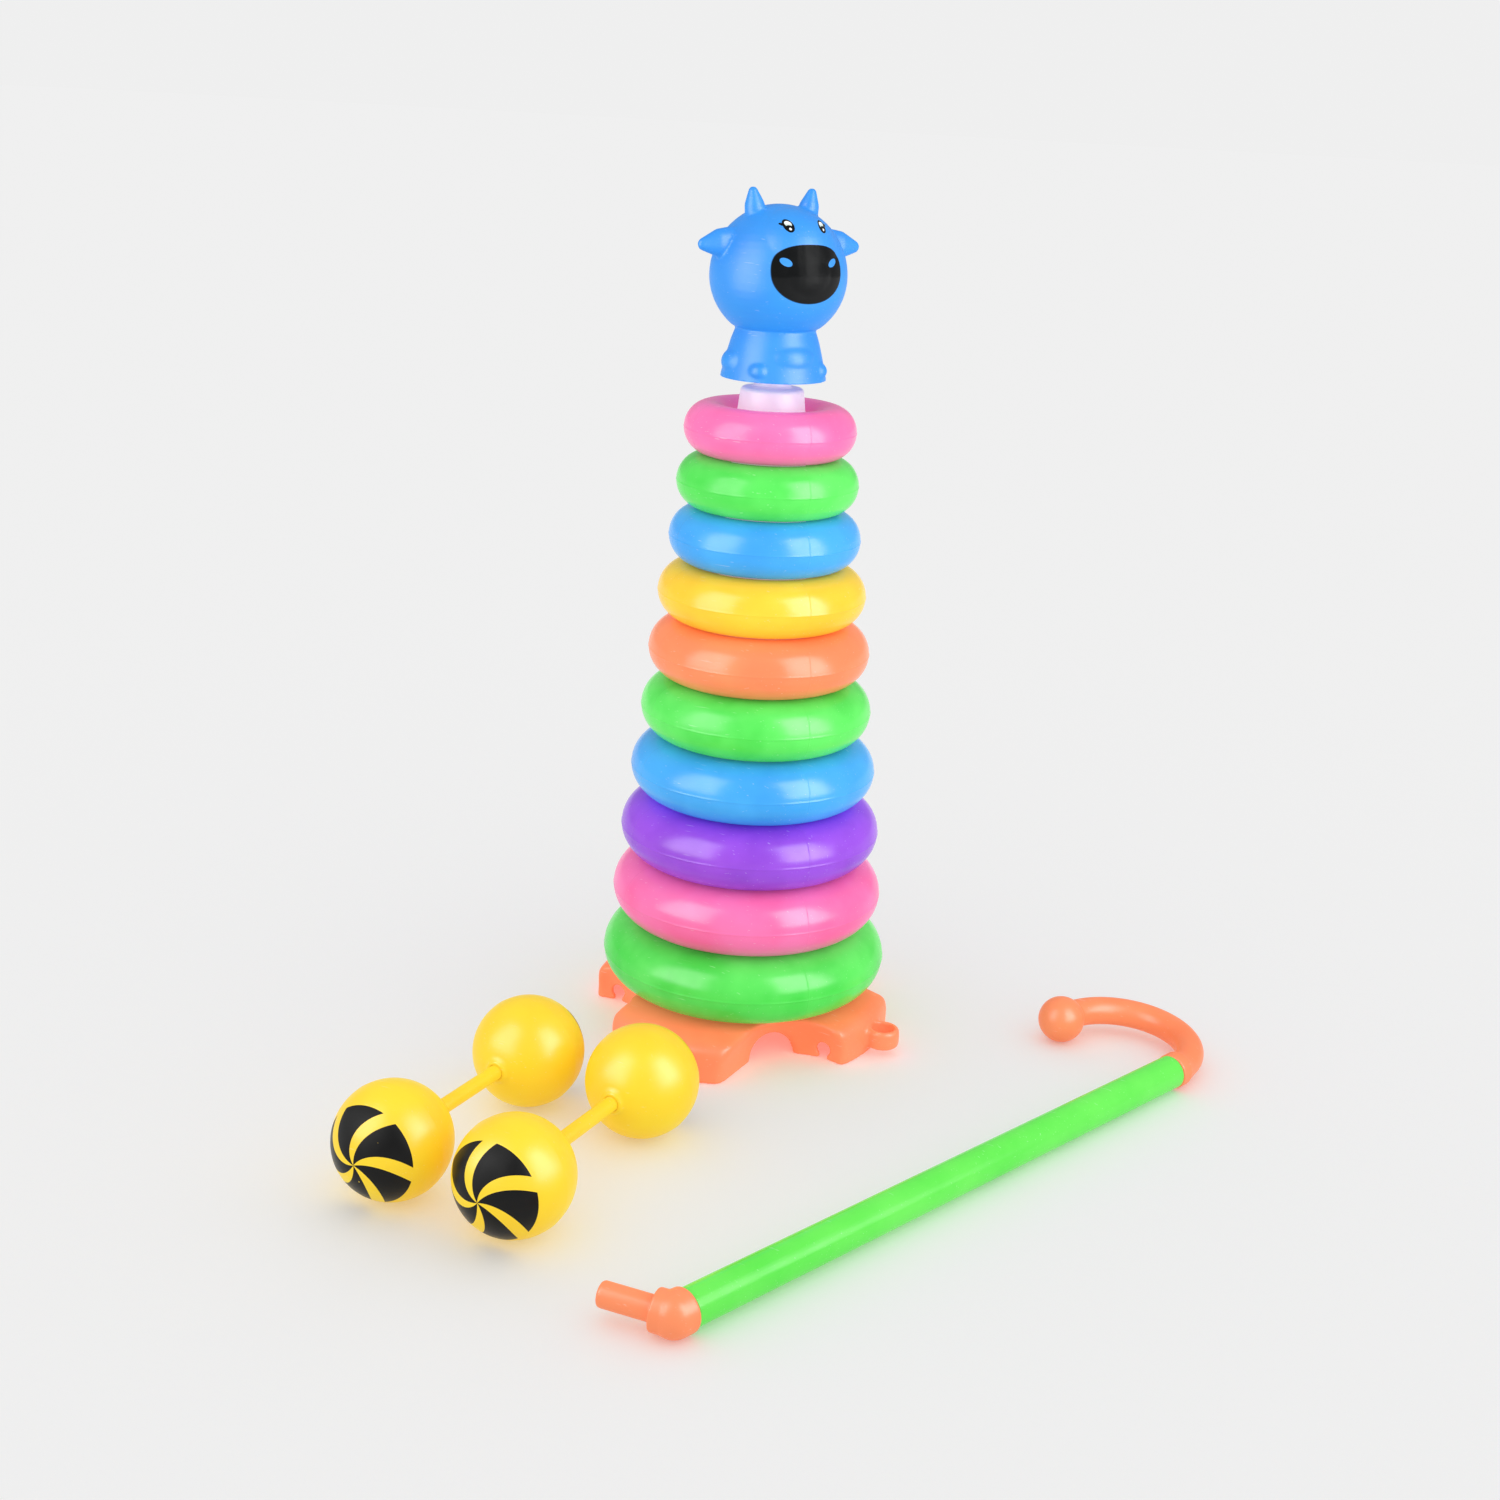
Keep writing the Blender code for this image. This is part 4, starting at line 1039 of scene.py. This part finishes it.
stick_orange = moulded("orange_handle_plastic", STICK_ORANGE, STICK_ORANGE_DEEP, STICK_ROUGHNESS)
plug = inner - PLUG_PLAY
stop = [(0, -PLUG_LENGTH), (plug, -PLUG_LENGTH), (plug, PLUG_PLAY),
        (collar_radius - COLLAR_EDGE, PLUG_PLAY), (collar_radius, PLUG_PLAY + COLLAR_EDGE),
        (collar_radius, HOOK_COLLAR), (0, HOOK_COLLAR)]
handle = turned(stop, MOULDING_SIDES, to_x)
bend = bmesh.new()
loops = []
for step in range(HOOK_STEPS + 1):
    turn = math.pi * step / HOOK_STEPS
    left = max(0, 1 - step / HOOK_THINNING)
    spot = (HOOK_COLLAR + HOOK_RADIUS * math.sin(turn), HOOK_RADIUS * (1 - math.cos(turn)), 0)
    place = Matrix.Translation(spot) @ Matrix.Rotation(turn, 4, "Z") @ to_x
    thickness = HOOK_ROD + (collar_radius - HOOK_ROD) * left ** 2
    made = bmesh.ops.create_circle(bend, segments=HOOK_SIDES, radius=thickness, matrix=place)
    loops.append(made["verts"])
for loop, following in zip(loops, loops[1:]):
    for index in range(len(loop)):
        bend.faces.new((loop[index - 1], loop[index], following[index], following[index - 1]))
bend.faces.new(loops[0])
bend.faces.new(loops[-1])
bmesh.ops.recalc_face_normals(bend, faces=bend.faces)
merge(handle, bend)
knob = Matrix.Translation((HOOK_COLLAR - HOOK_TAIL, 2 * HOOK_RADIUS, 0))
bmesh.ops.create_uvsphere(handle, u_segments=40, v_segments=24, radius=KNOB_RADIUS, matrix=knob)
bmesh.ops.transform(handle, matrix=stick, verts=handle.verts)
cane = new_object("stick_handle_moulding", handle)
soften(cane, STICK_VOXEL, HANDLE_ROUNDS)
place_piece(cane, stick_orange, "stick", "orange_handle_plastic", "stick_handle")

end = -TUBE_LENGTH - PLUG_PLAY
centre_x = end - HOOK_COLLAR
cap = [(0, end + PLUG_LENGTH), (plug, end + PLUG_LENGTH), (plug, end),
       (ELBOW_RADIUS - SOCKET_EDGE, end), (ELBOW_RADIUS, end - ELBOW_LEAD),
       *arc((0, centre_x), ELBOW_RADIUS, 0, -90, 14)]
cap[-1] = (0, centre_x - ELBOW_RADIUS)
elbow = turned(cap, MOULDING_SIDES, to_x)
heading = Vector((math.cos(ELBOW_TURN), math.sin(ELBOW_TURN), 0))
peg_place = (Matrix.Translation((centre_x, 0, 0))
             @ heading.to_track_quat("Z", "Y").to_matrix().to_4x4())
peg = [(0, PEG_LENGTH), *arc((PEG_RADIUS - PEG_EDGE, PEG_LENGTH - PEG_EDGE), PEG_EDGE, 90, 0, 5),
       (PEG_RADIUS, SOCKET_LENGTH), (SOCKET_OUTSIDE - SOCKET_EDGE, SOCKET_LENGTH),
       (SOCKET_OUTSIDE, SOCKET_LENGTH - SOCKET_EDGE), (SOCKET_OUTSIDE, 0), (0, 0)]
merge(elbow, turned(peg, MOULDING_SIDES, peg_place))
bmesh.ops.transform(elbow, matrix=stick, verts=elbow.verts)
hook_end = new_object("stick_elbow_moulding", elbow)
soften(hook_end, STICK_VOXEL, ELBOW_ROUNDS)
place_piece(hook_end, stick_orange, "stick", "orange_handle_plastic", "stick_elbow")


# ---- studio ----------------------------------------------------------------------------------
# A plain pale floor in an even white room, with two tall softboxes, one on each side of the
# camera. Each is a dim fill and a strong shine, and they light the toy alone, not the floor.

FLOOR_TONE = (0.90, 0.90, 0.90)
FLOOR_GLOW = 0.15
FLOOR_ROUGHNESS = 0.9
FLOOR_REACH = 80
ROOM_STRENGTH = 0.80
ROOM_MIRRORED = 0.38                # as reflections see it
ROOM_SEEN = 0.865                   # as the camera sees it
SOFTBOX_DISTANCE = 680 * MM
SOFTBOX_TURN = math.radians(52)
SOFTBOX_MIDDLE = 650 * MM
SOFTBOX_SIZE = (540 * MM, 1000 * MM)
SOFTBOXES = (("fill_left", -1, 1.8, True), ("fill_right", 1, 3.0, True),
             ("shine_left", -1, 22, False), ("shine_right", 1, 31, False))

floor_shape = bmesh.new()
bmesh.ops.create_grid(floor_shape, x_segments=1, y_segments=1, size=FLOOR_REACH)
floor = new_object("floor", floor_shape)
paper = bpy.data.materials.new("floor_paper")
paper.use_nodes = True
paper_shader = paper.node_tree.nodes["Principled BSDF"]
paper_shader.inputs["Base Color"].default_value = (*FLOOR_TONE, 1)
paper_shader.inputs["Roughness"].default_value = FLOOR_ROUGHNESS
paper_shader.inputs["Specular IOR Level"].default_value = 0
paper_shader.inputs["Emission Color"].default_value = (1, 1, 1, 1)
paper_shader.inputs["Emission Strength"].default_value = FLOOR_GLOW
floor.data.materials.append(paper)
floor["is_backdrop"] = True

lit = bpy.data.collections.new("lit_by_softboxes")
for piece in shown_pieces():
    lit.objects.link(piece)
for name, side, power, diffuse in SOFTBOXES:
    light = bpy.data.lights.new(name, "AREA")
    light.shape = "RECTANGLE"
    light.size, light.size_y = SOFTBOX_SIZE
    light.energy = power
    box = bpy.data.objects.new(name, light)
    bpy.context.scene.collection.objects.link(box)
    spot = VIEW_TURN @ Vector((side * math.sin(SOFTBOX_TURN) * SOFTBOX_DISTANCE,
                               -math.cos(SOFTBOX_TURN) * SOFTBOX_DISTANCE, SOFTBOX_MIDDLE))
    aim = Vector((0, 0, SOFTBOX_MIDDLE)) - spot
    box.matrix_world = Matrix.Translation(spot) @ aim.to_track_quat("-Z", "Y").to_matrix().to_4x4()
    box.visible_camera = False
    box.visible_diffuse = diffuse
    box.visible_glossy = not diffuse
    box.light_linking.receiver_collection = lit

room = bpy.data.worlds.new("room")
room.use_nodes = True
air = room.node_tree
path = add_node(air, "ShaderNodeLightPath").outputs
backdrop = air.nodes["Background"]
backdrop.inputs["Color"].default_value = (1, 1, 1, 1)
backdrop.inputs["Strength"].default_value = ROOM_STRENGTH
shown = backdrop.outputs[0]
for ray, strength in (("Is Glossy Ray", ROOM_MIRRORED), ("Is Camera Ray", ROOM_SEEN)):
    other = add_node(air, "ShaderNodeBackground", None, Color=(1, 1, 1, 1), Strength=strength)
    choice = air.nodes.new("ShaderNodeMixShader")
    feed(air, choice.inputs[0], path[ray])
    feed(air, choice.inputs[1], shown)
    feed(air, choice.inputs[2], other.outputs[0])
    shown = choice.outputs[0]
feed(air, air.nodes["World Output"].inputs[0], shown)
bpy.context.scene.world = room
bpy.context.scene.view_settings.view_transform = "Standard"

low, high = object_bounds()
